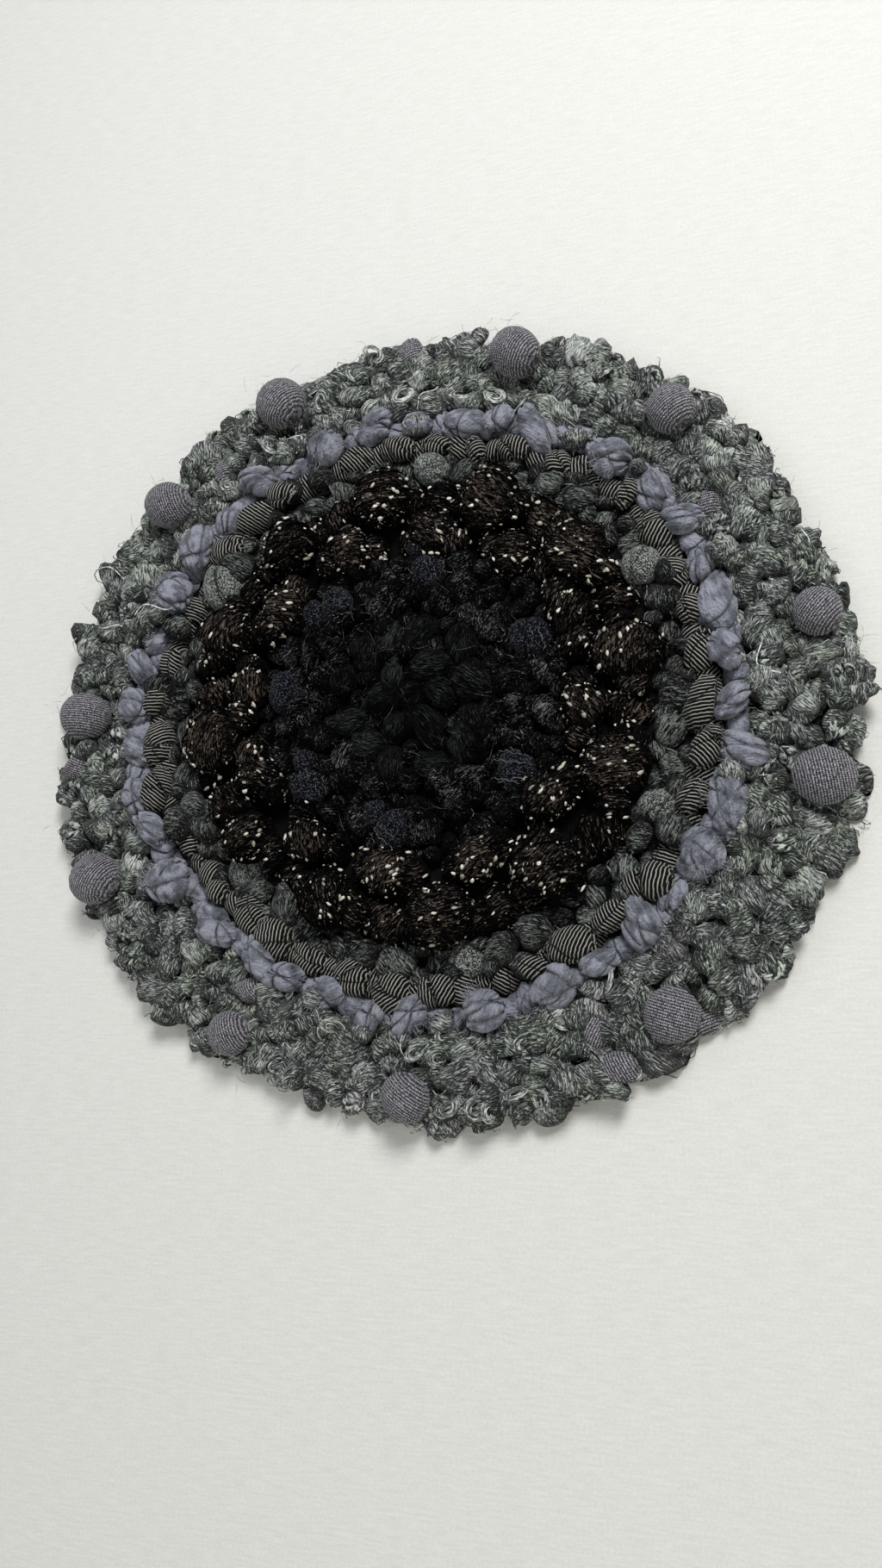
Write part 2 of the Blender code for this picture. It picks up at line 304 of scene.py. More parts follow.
class Heap:
    """The many small parts of one piece, gathered as arrays and then joined as one mesh."""

    def __init__(self):
        self.parts = []
        self.points = 0

    def add(self, points, faces, tone, kind=0, cloth=None, folds=None, rear=REAR_OF_LUMPS):
        """Adds a part: its points, triangles, shade, material, place on its cloth, folds, and flat rear."""
        count = len(points)
        points = points * ALONG_WALL + np.minimum(points[:, 1:2], rear) * (0, 1, 0)
        cloth = np.zeros((count, 2)) if cloth is None else cloth
        folds = np.full((count, 3), -1.0) if folds is None else folds
        kinds = np.full(len(faces), kind)
        self.parts.append((points, faces + self.points, np.broadcast_to(tone, count), kinds, cloth, folds))
        self.points += count

    def lay(self, paths, away, thick, tone, kind=0, sides=3):
        """Lays a length of yarn along each path. Away points out of what the yarn lies on."""
        faces, ring, angle = straight_yarn(sides, paths.shape[1] - 1)
        run = unit(np.gradient(paths, axis=1))
        side = unit(away - (away * run).sum(2, keepdims=True) * run)
        over = np.cross(run, side)
        turned = np.cos(angle)[:, None] * side[:, ring] + np.sin(angle)[:, None] * over[:, ring]
        points = paths[:, ring] + thick[:, ring, None] * turned
        count = np.arange(len(paths))
        starts = count[:, None, None] * len(ring)
        tone = np.reshape(tone, (-1, 1)) if np.ndim(tone) < 2 else tone
        shades = np.broadcast_to(tone, paths.shape[:2])[:, ring].ravel()
        length = np.linalg.norm(np.diff(paths, axis=1), axis=2).sum(axis=1)
        along = length[:, None] * ring / ring.max()
        cloth = np.stack([along, np.broadcast_to(0.0137 * count[:, None], along.shape)], axis=2)
        self.add(
            points.reshape(-1, 3), (faces + starts).reshape(-1, 3), shades, kind, cloth.reshape(-1, 2)
        )

    def join(self, name, materials):
        """The piece, as one mesh object that keeps each point's shade, cloth and folds."""
        points, faces, tone, kinds, cloth, folds = (np.concatenate(each) for each in zip(*self.parts))
        mesh = bpy.data.meshes.new(name)
        mesh.vertices.add(len(points))
        mesh.vertices.foreach_set("co", points.astype(np.float32).ravel())
        mesh.loops.add(faces.size)
        mesh.loops.foreach_set("vertex_index", faces.astype(np.int32).ravel())
        mesh.polygons.add(len(faces))
        mesh.polygons.foreach_set("loop_start", np.arange(len(faces), dtype=np.int32) * 3)
        mesh.polygons.foreach_set("material_index", kinds.astype(np.int32))
        for made in materials:
            mesh.materials.append(made)
        shades = mesh.attributes.new("tone", "FLOAT", "POINT")
        shades.data.foreach_set("value", tone.astype(np.float32))
        creases = mesh.attributes.new("folds", "FLOAT_VECTOR", "POINT")
        creases.data.foreach_set("vector", folds.astype(np.float32).ravel())
        layout = mesh.uv_layers.new(name="cloth")
        layout.uv.foreach_set("vector", cloth[faces.ravel()].astype(np.float32).ravel())
        mesh.update(calc_edges=True)
        mesh.shade_smooth()
        made = bpy.data.objects.new(name, mesh)
        bpy.context.scene.collection.objects.link(made)
        return made


def wind(heap, lump, rng, strands, steps, thick, tone, **how):
    """Winds parallel strands over a lump, as in a small hank. With ends, they meet at its two ends."""
    reach, spread, stray = how.get("reach", 1.45), how.get("spread", 1.3), how.get("stray", 0.05)
    lanes = np.linspace(-spread, spread, strands) + rng.normal(0, 0.5 * spread / strands, strands)
    turn = np.broadcast_to(np.linspace(-reach, reach, steps + 1), (strands, steps + 1))
    sway = rng.uniform(2, 5, (strands, 1)) * turn + rng.uniform(0, 2 * math.pi, (strands, 1))
    lane = lanes[:, None] + how.get("twist", 0.0) * turn + stray * np.sin(sway)
    if how.get("ends"):
        ball = np.stack([np.sin(turn), np.cos(turn) * np.sin(lane), np.cos(turn) * np.cos(lane)], axis=2)
    else:
        ball = np.stack([np.sin(lane), np.cos(lane) * np.sin(turn), np.cos(lane) * np.cos(turn)], axis=2)
    away = unit((ball / lump.size) @ lump.frame)
    # Painted shade: darker low on the lump, between its neighbours, and a little lighter on its top.
    depth = how.get("darker", PAINTED_SHADE_DOWN_BETWEEN) * (ball[..., 2] - PAINTED_SHADE_BELOW)
    ball = bulged(lump, ball)
    uneven = rng.normal(0, stray, (strands, 1))
    ball = ball * (1 + uneven + stray * np.cos(sway * 1.3))[..., None]
    paths = lump.middle + (ball * lump.size) @ lump.frame
    if how.get("loops"):
        run = unit(np.gradient(paths, axis=1))
        phase = np.linspace(0, 2 * math.pi * how["loops"], steps + 1) + rng.uniform(*ANY_PHASE, (strands, 1))
        sideways = np.cos(phase)[..., None] * np.cross(away, run)
        paths = paths + how["loop_size"] * (sideways + 0.8 * np.sin(phase)[..., None] * away)
    share = np.abs(np.linspace(-1, 1, steps + 1))
    slubs = 1 + how.get("slubs", 0.15) * np.sin(2.3 * sway + 1)
    thickness = thick * (1 - 0.75 * share**6) * slubs * rng.uniform(0.8, 1.2, (strands, 1))
    shade = rng.normal(tone, how.get("tone_spread", 0.12), (strands, 1)) + depth
    heap.lay(paths, away, thickness, shade, how.get("kind", 0))


@functools.lru_cache
def round_wad(subdivisions, cut):
    """A ball of radius one, cut flat at its back where it is sewn down: its points and faces."""
    bm = bmesh.new()
    bmesh.ops.create_icosphere(bm, subdivisions=subdivisions, radius=1)
    everything = [*bm.verts, *bm.edges, *bm.faces]
    bmesh.ops.bisect_plane(
        bm, geom=everything, plane_co=(0, 0, cut), plane_no=(0, 0, -1), clear_outer=True
    )
    rim = [edge for edge in bm.edges if edge.is_boundary]
    bmesh.ops.contextual_create(bm, geom=rim)
    return taken_apart(bm)


def add_heart(heap, lump, tone, **how):
    """The wound wad inside a lump. Its strands lie too close to be made singly, so they are its pattern."""
    ball, faces = round_wad(how.get("subdivisions", 3), how.get("cut", -0.6))
    round_it = np.arctan2(ball[:, 1], ball[:, 2])
    over_it = np.arcsin(np.clip(ball[:, 0], -1, 1))
    turn, lane = (over_it, round_it) if how.get("ends") else (round_it, over_it)
    cloth = np.stack([turn, lane - how.get("twist", 0.0) * turn], axis=1) * lump.size.mean()
    # Painted shade, as on the strands: darker low on the wad, and a little lighter on its top.
    shades = tone + how.get("darker", PAINTED_SHADE_DOWN_BETWEEN) * (ball[:, 2] - PAINTED_SHADE_BELOW)
    points = lump.middle + (bulged(lump, ball) * lump.size * HEART_SHARE) @ lump.frame
    heap.add(points, faces, shades, how.get("kind", 0), cloth + lump.bumps[1][:2])


def wound_lump(heap, lump, rng, strands, steps, thick, tone, **how):
    """A lump wound all over: the wad, its close strands, and the looser strands that stand out of them."""
    add_heart(heap, lump, tone, **how)
    wind(heap, lump, rng, strands, steps, thick, tone, **how)


def haze(heap, place, out, rng, hairs, kind, wide=9 * MM):
    """Brushed hairs that float over the yarn."""
    start = place + rng.normal(0, 1, (hairs, 3)) * wide * (1, 0.35, 1)
    lie = unit(rng.normal(0, 1, (hairs, 3)) + 0.4 * out)
    bend = unit(rng.normal(0, 1, (hairs, 3)))
    share = np.linspace(-1, 1, 5)[None, :, None]
    paths = start[:, None] + lie[:, None] * share * HAZE_HALF_LENGTH + bend[:, None] * share**2 * HAZE_BEND
    away = np.broadcast_to(unit(np.cross(lie, bend))[:, None], paths.shape)
    thick = np.broadcast_to(HAZE_THICK * np.array([0.4, 1, 1, 1, 0.4]), (hairs, 5))
    heap.lay(paths, away, thick, rng.uniform(0.4, 1.0, hairs), kind)


def add_ground(heap, inner, outer, kind):
    """The cloth ground under a round: flat in front, with the rows of its stitches at the back."""
    bm = bmesh.new()
    rows = max(2, round((outer - inner) / GROUND_ROW * 2))
    back = [
        (inner + (outer - inner) * row / rows, GROUND_ROW_DEPTH * (row % 2)) for row in range(rows + 1)
    ]
    profile = [*back, (outer, GROUND_THICK), (inner, GROUND_THICK)]
    corners = [bm.verts.new((radius, -height, 0)) for radius, height in profile]
    edges = [bm.edges.new(pair) for pair in zip(corners, corners[1:] + corners[:1])]
    bmesh.ops.spin(
        bm, geom=corners + edges, axis=(0, 1, 0), angle=2 * math.pi, steps=GROUND_STEPS, use_merge=True
    )
    bmesh.ops.remove_doubles(bm, verts=bm.verts, dist=0.001)
    points, faces = taken_apart(bm)
    placed = drawn_out_of_round(points[:, [0, 2]])
    placed[:, 1] = points[:, 1] * MM
    heap.add(placed, faces, 0.2, kind, rear=0.0)


# Black boucle: a spun yarn with a tangle of small loops, nearly black. Its two lighter shades are painted
# highlights, where its curls catch a thin light.
boucle_shades_and_highlights = ("#010101", "#020202", "#191A1A", "#6C6E6D")
black_boucle = spun_yarn("black_boucle_yarn", boucle_shades_and_highlights, 0.8, 1.9, 1.3, 0.8, 0.01, curl=1.8)
# Brushed mohair: finer and softer than the boucle, so it shows as a dark haze.
black_mohair = spun_yarn("black_mohair", ("#010101", "#050606", "#3A3D3C"), 0.4, 6.0, 0.9, 0.8, 0.02)


def sewing_ground(name, colour, back_colour, stitch_mm):
    """The cloth that the rounds are sewn to, with paler rows of stitches at the back. Its dark front is
    painted shade where it shows down between the rounds.
    """
    made, tree, shader, place = new_material(name, colour, 0.95, 0.1)
    depth = add_node(tree, "SeparateXYZ", {"Vector": place}, "Y")
    at_back = add_node(tree, "MapRange", {"Value": depth, "From Min": -6 * MM, "From Max": -2 * MM})
    stitches = add_node(tree, "TexVoronoi", {"Vector": place, "Scale": 1 / (stitch_mm * MM)})
    rows = add_node(tree, "ValToRGB", {"Fac": stitches}, stops=((0.1, back_colour), (0.75, colour)))
    mixed = add_node(tree, "Mix", {0: at_back, 6: linear(colour), 7: rows}, 2, data_type="RGBA")
    finish_surface(tree, shader, mixed, stitches, 1.0, 1.0 * MM, invert=True)
    return made


# The black ground's near-black front is painted shade where it shows between the knots.
black_ground_and_painted_shade = sewing_ground("black_ground_cloth", "#060606", "#3B3A3B", 3.4)

rng = np.random.default_rng(21)
heap = Heap()
front = front_of("black_pile")
add_ground(heap, MIDDLE_OPENING, BLACK_PILE_RADII[-1], 2)
for row, knots in enumerate(BLACK_PILE_KNOTS):
    inner, outer = BLACK_PILE_RADII[row : row + 2]
    first = BLACK_PILE_FIRST[row]
    for place, around in row_of_knots(front, inner, outer, knots, first):
        if place[1] > GROUND_FRONT - LEAST_KNOT_HEIGHT:
            continue
        place += rng.uniform(*KNOT_STRAY, 3) * MM * PILE_STRAY
        size = np.array(BLACK_PILE_LUMP) * rng.uniform(0.85, 1.35)
        lump = lump_at(place, around, size, rng, rng.uniform(*ANY_LIE), 0.35, bumpy=0.12)
        tone = rng.uniform(0.2, 0.5)
        if row < MOHAIR_ROWS:
            wound_lump(heap, lump, rng, 14, 7, MOHAIR_THICK, tone, ends=True, stray=0.1, kind=1)
        else:
            wound_lump(
                heap, lump, rng, 5, 18, BOUCLE_THICK, tone, stray=0.07,
                loops=5.0, loop_size=BOUCLE_LOOP, tone_spread=0.25,
            )
        haze(heap, place, FROM_WALL, rng, 8, 0)
    for shift in (0.0, 0.5):
        for place, around in row_of_knots(front, inner, outer, knots, first + shift, 0.97):
            place[1] = GROUND_FRONT - rng.uniform(*BLACK_PILE_LOW_ROW) * MM
            size = np.array(BLACK_PILE_SMALL_LUMP) * rng.uniform(0.9, 1.4)
            lump = lump_at(place, around, size, rng, rng.uniform(*ANY_LIE), 0.4, bumpy=0.08)
            wound_lump(
                heap, lump, rng, 2, 13, BOUCLE_THICK, rng.uniform(0.15, 0.4), stray=0.07,
                loops=3.6, loop_size=BOUCLE_LOOP, tone_spread=0.25, subdivisions=2,
            )
black_pile = heap.join("boucle_pile", (black_boucle, black_mohair, black_ground_and_painted_shade))
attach(black_pile, "root")
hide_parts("black_pile")


# Seven nubs of blue-black boucle knitted cloth, each a wad the size of a walnut, sewn on round the pile.
NUB_LOOP = 1.7 * MM
NUB_LENGTH = (1.25, 1.7)
NUB_WIDTH_AND_DEPTH = (1.2, 1.3)
LAP_SLOPE = 0.12
CREASE_BACK = 0.05
CREASE_WIDE = 0.1


def wad_of_cloth(heap, lump, rng, subdivisions, tone, **how):
    """A wad of cloth. Up to three layers lap over it, each creased at its edge, and its ends are pleated."""
    ball, faces = round_wad(subdivisions, how.get("cut", -0.35))
    swell = np.zeros(len(ball))
    folds = np.full((len(ball), 3), -1.0)
    for number in range(how.get("layers", 3)):
        pole = unit(rng.normal(0, 1, 3) * (1, 1, 0.6))
        wave = 0.09 * np.sin(4 * ball @ unit(rng.normal(0, 1, 3)) + rng.uniform(*ANY_PHASE))
        over = ball @ pole + wave - rng.uniform(-0.25, 0.45)
        folds[:, number] = over
        swell += how.get("lap", 0.09) * (0.5 + 0.5 * np.tanh(over / LAP_SLOPE))
        swell -= how.get("crease", 0.08) * np.exp(-(((over + CREASE_BACK) / CREASE_WIDE) ** 2))
    for _ in range(3):
        lumps = np.sin(3.2 * ball @ unit(rng.normal(0, 1, 3)) + rng.uniform(*ANY_PHASE))
        swell += how.get("lumpy", 0.03) * lumps
    angle = np.arctan2(ball[:, 2], ball[:, 1])
    pleats = np.abs(np.sin(angle * how.get("pleats", 4) + 3 * ball[:, 0]))
    swell -= how.get("pleat_depth", 0.12) * (1 - pleats) * np.abs(ball[:, 0]) ** 2
    local = ball * (1 + swell)[:, None] * lump.size
    run = unit(np.array(how.get("run", (1.0, 0.4, 0.0))))
    side = np.cross((0.0, 0.0, 1.0), run)
    cloth = np.stack([local @ run, local @ side], axis=1)
    lapped = folds[:, 0] > 0
    other = unit(np.array(how.get("lapped_run", run)))
    cloth[lapped, 0] = local[lapped] @ other
    heap.add(lump.middle + local @ lump.frame, faces, tone, how.get("kind", 0), cloth, folds)


def creases_of(tree, crease_width):
    """How deep in a crease each place of the cloth is, from 0 to 1, from the folds that the mesh carries."""
    folds = add_node(tree, "Attribute", out="Vector", attribute_name="folds")
    deepest = 0.0
    for axis in "XYZ":
        fold = add_node(tree, "SeparateXYZ", {"Vector": folds}, axis)
        edge = add_node(tree, "Math", {0: fold, 1: crease_width * 0.7}, operation="ADD")
        share = add_node(tree, "Math", {0: edge, 1: crease_width}, operation="DIVIDE")
        away = add_node(tree, "Math", {0: share, 1: share, 2: 1.0}, operation="MULTIPLY_ADD")
        here = add_node(tree, "Math", {0: 1.0, 1: away}, operation="DIVIDE")
        deepest = add_node(tree, "Math", {0: deepest, 1: here}, operation="MAXIMUM")
    return deepest


def turned_on_wall(rng):
    """The directions along, across and out of something laid flat on the wall, turned at random."""
    turn = rng.uniform(0, math.pi)
    along = np.array([math.cos(turn), 0.0, math.sin(turn)])
    return np.array([along, np.cross(FROM_WALL, along), FROM_WALL])


def solids_named(word):
    """The solids of one kind, in order: each one's number, name, and its box's two corners."""
    names = sorted(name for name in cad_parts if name.startswith(word))
    for number, name in enumerate(names, 1):
        yield number, name, *(np.array(corner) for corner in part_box(name))


# Boucle knit: the cloth of a thick jumper, blue-black. The crowns of its loops are painted light, as
# highlights, and the hollows between them dark, as shade. The loops are a little over 1 mm apart, and are
# drawn coarser, so that they show.
boucle_knit, tree, shader, place = new_material("blue_black_boucle_knit", "#1A1C24", 0.85, 0.04)
loops = add_node(tree, "TexVoronoi", {"Vector": place, "Scale": 1 / NUB_LOOP})
loop_highlights_and_shade = ((0.05, "#6C6F78"), (0.6, "#050506"), (0.3, "#202229"))
colour = add_node(tree, "ValToRGB", {"Fac": loops}, stops=loop_highlights_and_shade)
finish_surface(tree, shader, colour, loops, 1.0, 0.7 * MM, invert=True)

for number, node, low, high in solids_named("boucle_nub"):
    size = (high - low) / 2
    frame_here = turned_on_wall(rng)
    heap = Heap()
    wide, deep = NUB_WIDTH_AND_DEPTH
    half = np.array([size[0] * rng.uniform(*NUB_LENGTH), size[2] * wide, size[1] * deep])
    lump = Lump((low + high) / 2, frame_here, half, bumps_of(rng, 0.13))
    wad_of_cloth(heap, lump, rng, 4, 0.5, cut=-0.85, layers=1, pleats=3, pleat_depth=0.2, lap=0.06)
    wind(heap, lump, rng, 8, 16, 0.3 * MM, 0.9, loops=5, loop_size=0.9 * MM, reach=1.3, kind=1)
    if number % 3 != 1:
        beside = lump.middle + frame_here[1] * half[1] * 1.5
        second = Lump(beside, frame_here, half * (0.7, 0.75, 0.8), bumps_of(rng, 0.07))
        wad_of_cloth(heap, second, rng, 4, 0.5, cut=-0.85, layers=1, pleats=3, pleat_depth=0.2)
    nub = heap.join(f"knit_nub_{number:02d}", (boucle_knit, black_boucle))
    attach(nub, "root")
    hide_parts(node)


# The slub band: two rows of lumps, wound of a black-brown yarn with cream slubs, the short thick places that
# stand out as flecks. Between them sit the wound balls of the next section.
SLUB_BAND_RADII = (128, 165, 204)
SLUB_BAND_KNOTS = (24, 24)
SLUB_LUMP = (21.0, 18.0, 16.0)
SLUB_LOW_ROW = (12, 26)
WIDE_STRAY = (-4, 4)
SLUB_YARN_THICK = 0.75 * MM
LARGE_FLECK = (1.2 * MM, 2.4 * MM)
SMALL_FLECK = (0.4 * MM, 0.9 * MM)
LARGE_FLECKS = 0.27
FLECKS_PROUD = 1.03


@functools.lru_cache
def fleck_shape():
    bm = bmesh.new()
    bmesh.ops.create_icosphere(bm, subdivisions=1, radius=1)
    return taken_apart(bm)


def add_flecks(heap, lump, rng, count, kind):
    """Slubs on a wound lump: cream swellings along the yarn, most small, a few as large as a lentil."""
    points, faces = fleck_shape()
    thick_side = unit(rng.normal(0, 1, 3) + (0, 0, 1))
    for _ in range(count):
        spot = unit(rng.normal(0, 1, 3) + thick_side * rng.uniform(0, 0.9))
        spot[2] = abs(spot[2])
        out = unit((spot / lump.size) @ lump.frame)
        along = unit(np.cross(out, lump.frame[0] + rng.normal(0, 0.35, 3)))
        large = rng.random() < LARGE_FLECKS
        wide = rng.uniform(*(LARGE_FLECK if large else SMALL_FLECK))
        long = rng.uniform(1.1, 1.9 if large else 2.6)
        size = wide * np.array([long, rng.uniform(0.6, 1.0), 0.6])
        shape = points * size * rng.uniform(0.6, 1.25, (len(points), 1))
        middle = lump.middle + (bulged(lump, spot[None])[0] * lump.size * FLECKS_PROUD) @ lump.frame
        heap.add(
            middle + shape @ np.array([along, np.cross(out, along), out]), faces,
            rng.uniform(0.35, 1.0) if large else rng.uniform(-0.1, 0.6), kind,
        )


# Slub yarn: a soft black-brown single. Its lightest brown is a painted highlight, where its strands catch
# the light.
slub_shades_and_highlight = ("#010101", "#020202", "#110F0E", "#584E47")
slub_yarn = spun_yarn("black_brown_slub_yarn", slub_shades_and_highlight, 0.8, 2.0, 1.15, 0.8, 0.01, curl=0.8)
# The slubs: unspun cream cotton, matt. The small ones take some of the dark yarn's colour.
slub_fleck = spun_yarn("cream_cotton_slub", ("#4B463E", "#A9A496", "#E9E5D8"), 0.5, 2.0, 1.5, 0.9, 0.1)

rng = np.random.default_rng(22)
heap = Heap()
front = front_of("slub_ground")
add_ground(heap, SLUB_BAND_RADII[0], SLUB_BAND_RADII[-1], 2)
for row, knots in enumerate(SLUB_BAND_KNOTS):
    inner, outer = SLUB_BAND_RADII[row : row + 2]
    for place, around in row_of_knots(front, inner, outer, knots):
        if place[1] > GROUND_FRONT - LEAST_KNOT_HEIGHT:
            continue
        place += rng.uniform(*WIDE_STRAY, 3) * MM * ALONG_WALL
        size = np.array(SLUB_LUMP) * rng.uniform(0.9, 1.2)
        lump = lump_at(place, around, size, rng, rng.uniform(*ANY_LIE), 0.25, bumpy=0.08)
        tone = rng.uniform(0.3, 0.55)
        wound_lump(heap, lump, rng, 8, 10, SLUB_YARN_THICK, tone, twist=0.25, slubs=0.35, stray=0.06)
        wind(heap, lump, rng, 4, 10, SLUB_YARN_THICK, tone, twist=0.9, slubs=0.35, spread=0.9)
        add_flecks(heap, lump, rng, 27, 1)
    for place, around in row_of_knots(front, inner, outer, knots, 0.0, 0.5):
        place[1] = GROUND_FRONT - rng.uniform(*SLUB_LOW_ROW) * MM
        lump = lump_at(place, around, np.array(SLUB_LUMP) * 0.8, rng, rng.uniform(*ANY_LIE), bumpy=0.08)
        wound_lump(heap, lump, rng, 6, 8, SLUB_YARN_THICK, rng.uniform(0.2, 0.5), slubs=0.35, stray=0.07)
        add_flecks(heap, lump, rng, 16, 1)
slub_band = heap.join("slub_band", (slub_yarn, slub_fleck, black_ground_and_painted_shade))
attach(slub_band, "root")
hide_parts("slub_ground")


# Twenty-four balls of the same slub yarn, in two sizes. Each is wound over a wad of cloth, in layers that
# cross, and sewn down flat at its back.
BALL_BEFORE_CUT = 0.9

for number, node, low, high in solids_named("slub_ball"):
    half = (high - low) / 2
    radius = (half[0] + half[2]) / 2
    deep = half[1] / BALL_BEFORE_CUT
    turn = rng.uniform(0, math.pi)
    tilt = unit(np.array([math.cos(turn), rng.uniform(-0.3, 0.3), math.sin(turn)]))
    out = unit(FROM_WALL - (FROM_WALL @ tilt) * tilt)
    lump = Lump(
        np.array([(low + high)[0] / 2, low[1] + deep, (low + high)[2] / 2]),
        np.array([tilt, np.cross(out, tilt), out]),
        np.array([radius * rng.uniform(0.95, 1.1), radius, deep]) - SLUB_YARN_THICK, bumps_of(rng, 0.06),
    )
    heap = Heap()
    tone = rng.uniform(0.35, 0.6)
    wound_lump(
        heap, lump, rng, round(radius / (3.2 * MM)), 14, SLUB_YARN_THICK, tone, reach=1.9, spread=1.4,
        stray=0.04, slubs=0.4, twist=0.1, cut=-0.8, subdivisions=4,
    )
    wind(
        heap, lump, rng, round(radius / (4 * MM)), 12, SLUB_YARN_THICK, tone, reach=1.6, spread=1.1,
        stray=0.06, slubs=0.4, twist=0.8,
    )
    add_flecks(heap, lump, rng, round(radius / MM * 2.4), 1)
    ball = heap.join(f"wound_ball_{number:02d}", (slub_yarn, slub_fleck))
    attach(ball, "root")
    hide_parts(node)


# The tweed round: chunky knots of a dark green-grey tweed yarn, and a few wads wrapped in a heather tweed
# cloth. It is crocheted as one row and sewn down round the slub band.
TWEED_RADII = (204, 228)
TWEED_KNOTS = 48
TWEED_LUMP = (15.0, 12.5, 10.0)
TWEED_YARN_THICK = 0.7 * MM
OVER_NEXT_ROUND = 0.2
OVER_BY = 8 * MM
TWEED_OVER_HEIGHT = 12 * MM
TWEED_LOW_ROW = (5, 10)
TWEED_WITH_ENDS = 0.4
TWEED_WADS = (3, 11, 19, 29, 37, 44)
TWEED_WAD = (18.0, 15.5, 13.0)


def painted_shade_in_creases(tree, pattern, colours, creases, dark):
    """The colours of a cloth's pattern, with painted shade that darkens them down in its creases."""
    cloth = add_node(tree, "ValToRGB", {"Fac": pattern}, stops=colours)
    return add_node(tree, "Mix", {0: creases, 6: cloth, 7: linear(dark)}, 2, data_type="RGBA")


# Tweed yarn: dark green-grey wool, mottled with lighter fibres that were carded in.
tweed_shades = ("#020202", "#131514", "#7B807B")
tweed_yarn = spun_yarn("dark_tweed_yarn", tweed_shades, 0.9, 1.6, 1.0, 0.85, 0.06, curl=1.0)
# Heather tweed: a felted cloth of mixed light and dark fibres, which shows as salt and pepper.
heather_tweed, tree, shader, place = new_material("heather_tweed_cloth", "#4A4F4C", 0.9, 0.2)
feeds = {"Vector": place, "Scale": 1 / (1.3 * MM), "Detail": 3.0, "Roughness": 0.7}
fibres = add_node(tree, "TexNoise", feeds)
colours = ((0.42, "#0B0C0C"), (0.6, "#9A9E99"), (0.5, "#3C403D"))
# Painted shade: the tweed goes near black down in its creases.
mixed = painted_shade_in_creases(tree, fibres, colours, creases_of(tree, 0.03), "#0A0B0B")
finish_surface(tree, shader, mixed, fibres, 0.8, 0.6 * MM)

rng = np.random.default_rng(23)
heap = Heap()
front = front_of("tweed_round")
add_ground(heap, *TWEED_RADII, 2)
for number, (place, around) in enumerate(row_of_knots(front, *TWEED_RADII, TWEED_KNOTS)):
    if number in TWEED_WADS:
        lump = lump_at(place + (0, -3 * MM, 0), around, TWEED_WAD, rng, rng.uniform(*ANY_LIE), 0.2)
        wad_of_cloth(heap, lump, rng, 5, 0.5, layers=2, kind=1, crease=0.05, lap=0.05)
        continue
    place += rng.uniform(*KNOT_STRAY, 3) * MM * ALONG_WALL
    size = np.array(TWEED_LUMP) * rng.uniform(0.8, 1.2)
    lump = lump_at(place, around, size, rng, rng.uniform(-0.9, 0.9), 0.3, bumpy=0.08)
    twist, ends = rng.uniform(-0.4, 0.4), rng.random() < TWEED_WITH_ENDS
    wound_lump(
        heap, lump, rng, 4, 8, TWEED_YARN_THICK, rng.uniform(0.35, 0.65), twist=twist, stray=0.09, ends=ends
    )
# Smaller knots fill in along both edges. Some of the outer ones lap over on to the striped rope.
for across in (0.05, 0.95):
    for place, around in row_of_knots(front, *TWEED_RADII, TWEED_KNOTS, 0.0, across):
        place[1] = min(place[1], GROUND_FRONT) - rng.uniform(*TWEED_LOW_ROW) * MM
        size = np.array(TWEED_LUMP) * rng.uniform(0.6, 0.8)
        if across > 0.5 and rng.random() < OVER_NEXT_ROUND:
            place += np.cross(around, FROM_WALL) * OVER_BY + FROM_WALL * TWEED_OVER_HEIGHT
            size = size * 1.35
        lump = lump_at(place, around, size, rng, rng.uniform(*ANY_LIE), 0.4, bumpy=0.06)
        wound_lump(
            heap, lump, rng, 4, 6, TWEED_YARN_THICK, rng.uniform(0.25, 0.6), twist=0.3, stray=0.09,
            subdivisions=2 if across < 0.5 else 3,
        )
tweed_round = heap.join("tweed_knots", (tweed_yarn, heather_tweed, black_ground_and_painted_shade))
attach(tweed_round, "root")
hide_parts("tweed_round")


# The striped rope: a strip of fine black and cream striped jersey, twisted and knotted into a rope of small
# ovals, and laid once round. Its stripes run across each oval.
STRIPED_RADII = (228, 248)
STRIPED_KNOTS = 40
STRIPED_LUMP = (17.5, 12.0, 11.5)
STRIPED_LOW_ROW = 8 * MM
STRIPE_PITCH = 2.8 * MM


def waves_along(tree, distance, pitch):
    """A wave that repeats at every pitch along the cloth, from -1 to 1."""
    turns = add_node(tree, "Math", {0: distance, 1: 2 * math.pi / pitch}, operation="MULTIPLY")
    return add_node(tree, "Math", {0: turns}, operation="SINE")


# Striped jersey: a cotton knit with one row of cream to each row of black, which stays crisp when it is
# bent. The real stripes repeat every 1.75 mm or so. They are drawn coarser, so that they show.
striped_jersey, tree, shader, place = new_material("striped_cotton_jersey", "#55544E", 0.85, 0.06)
cloth = add_node(tree, "UVMap", uv_map="cloth")
across = add_node(tree, "SeparateXYZ", {"Vector": cloth}, "X")
wobble = add_node(tree, "TexNoise", {"Vector": place, "Scale": 1 / (5 * MM), "Detail": 1.0})
run = add_node(tree, "Math", {0: wobble, 1: 1.6 * MM, 2: across}, operation="MULTIPLY_ADD")
wave = waves_along(tree, run, STRIPE_PITCH)
level = add_node(tree, "Math", {0: wave, 1: 0.5, 2: 0.5}, operation="MULTIPLY_ADD")
fibres = add_node(tree, "TexNoise", {"Vector": place, "Scale": 1 / (0.9 * MM), "Detail": 2.0})
worn = add_node(tree, "Math", {0: fibres, 1: 0.2, 2: level}, operation="MULTIPLY_ADD")
colours = ((0.7, "#0B0B0A"), (1.0, "#92918A"), (0.87, "#2F2F2C"))
# Painted shade: the stripes go near black down in the creases.
mixed = painted_shade_in_creases(tree, worn, colours, creases_of(tree, 0.035), "#080808")
finish_surface(tree, shader, mixed, level, 0.6, 0.4 * MM)

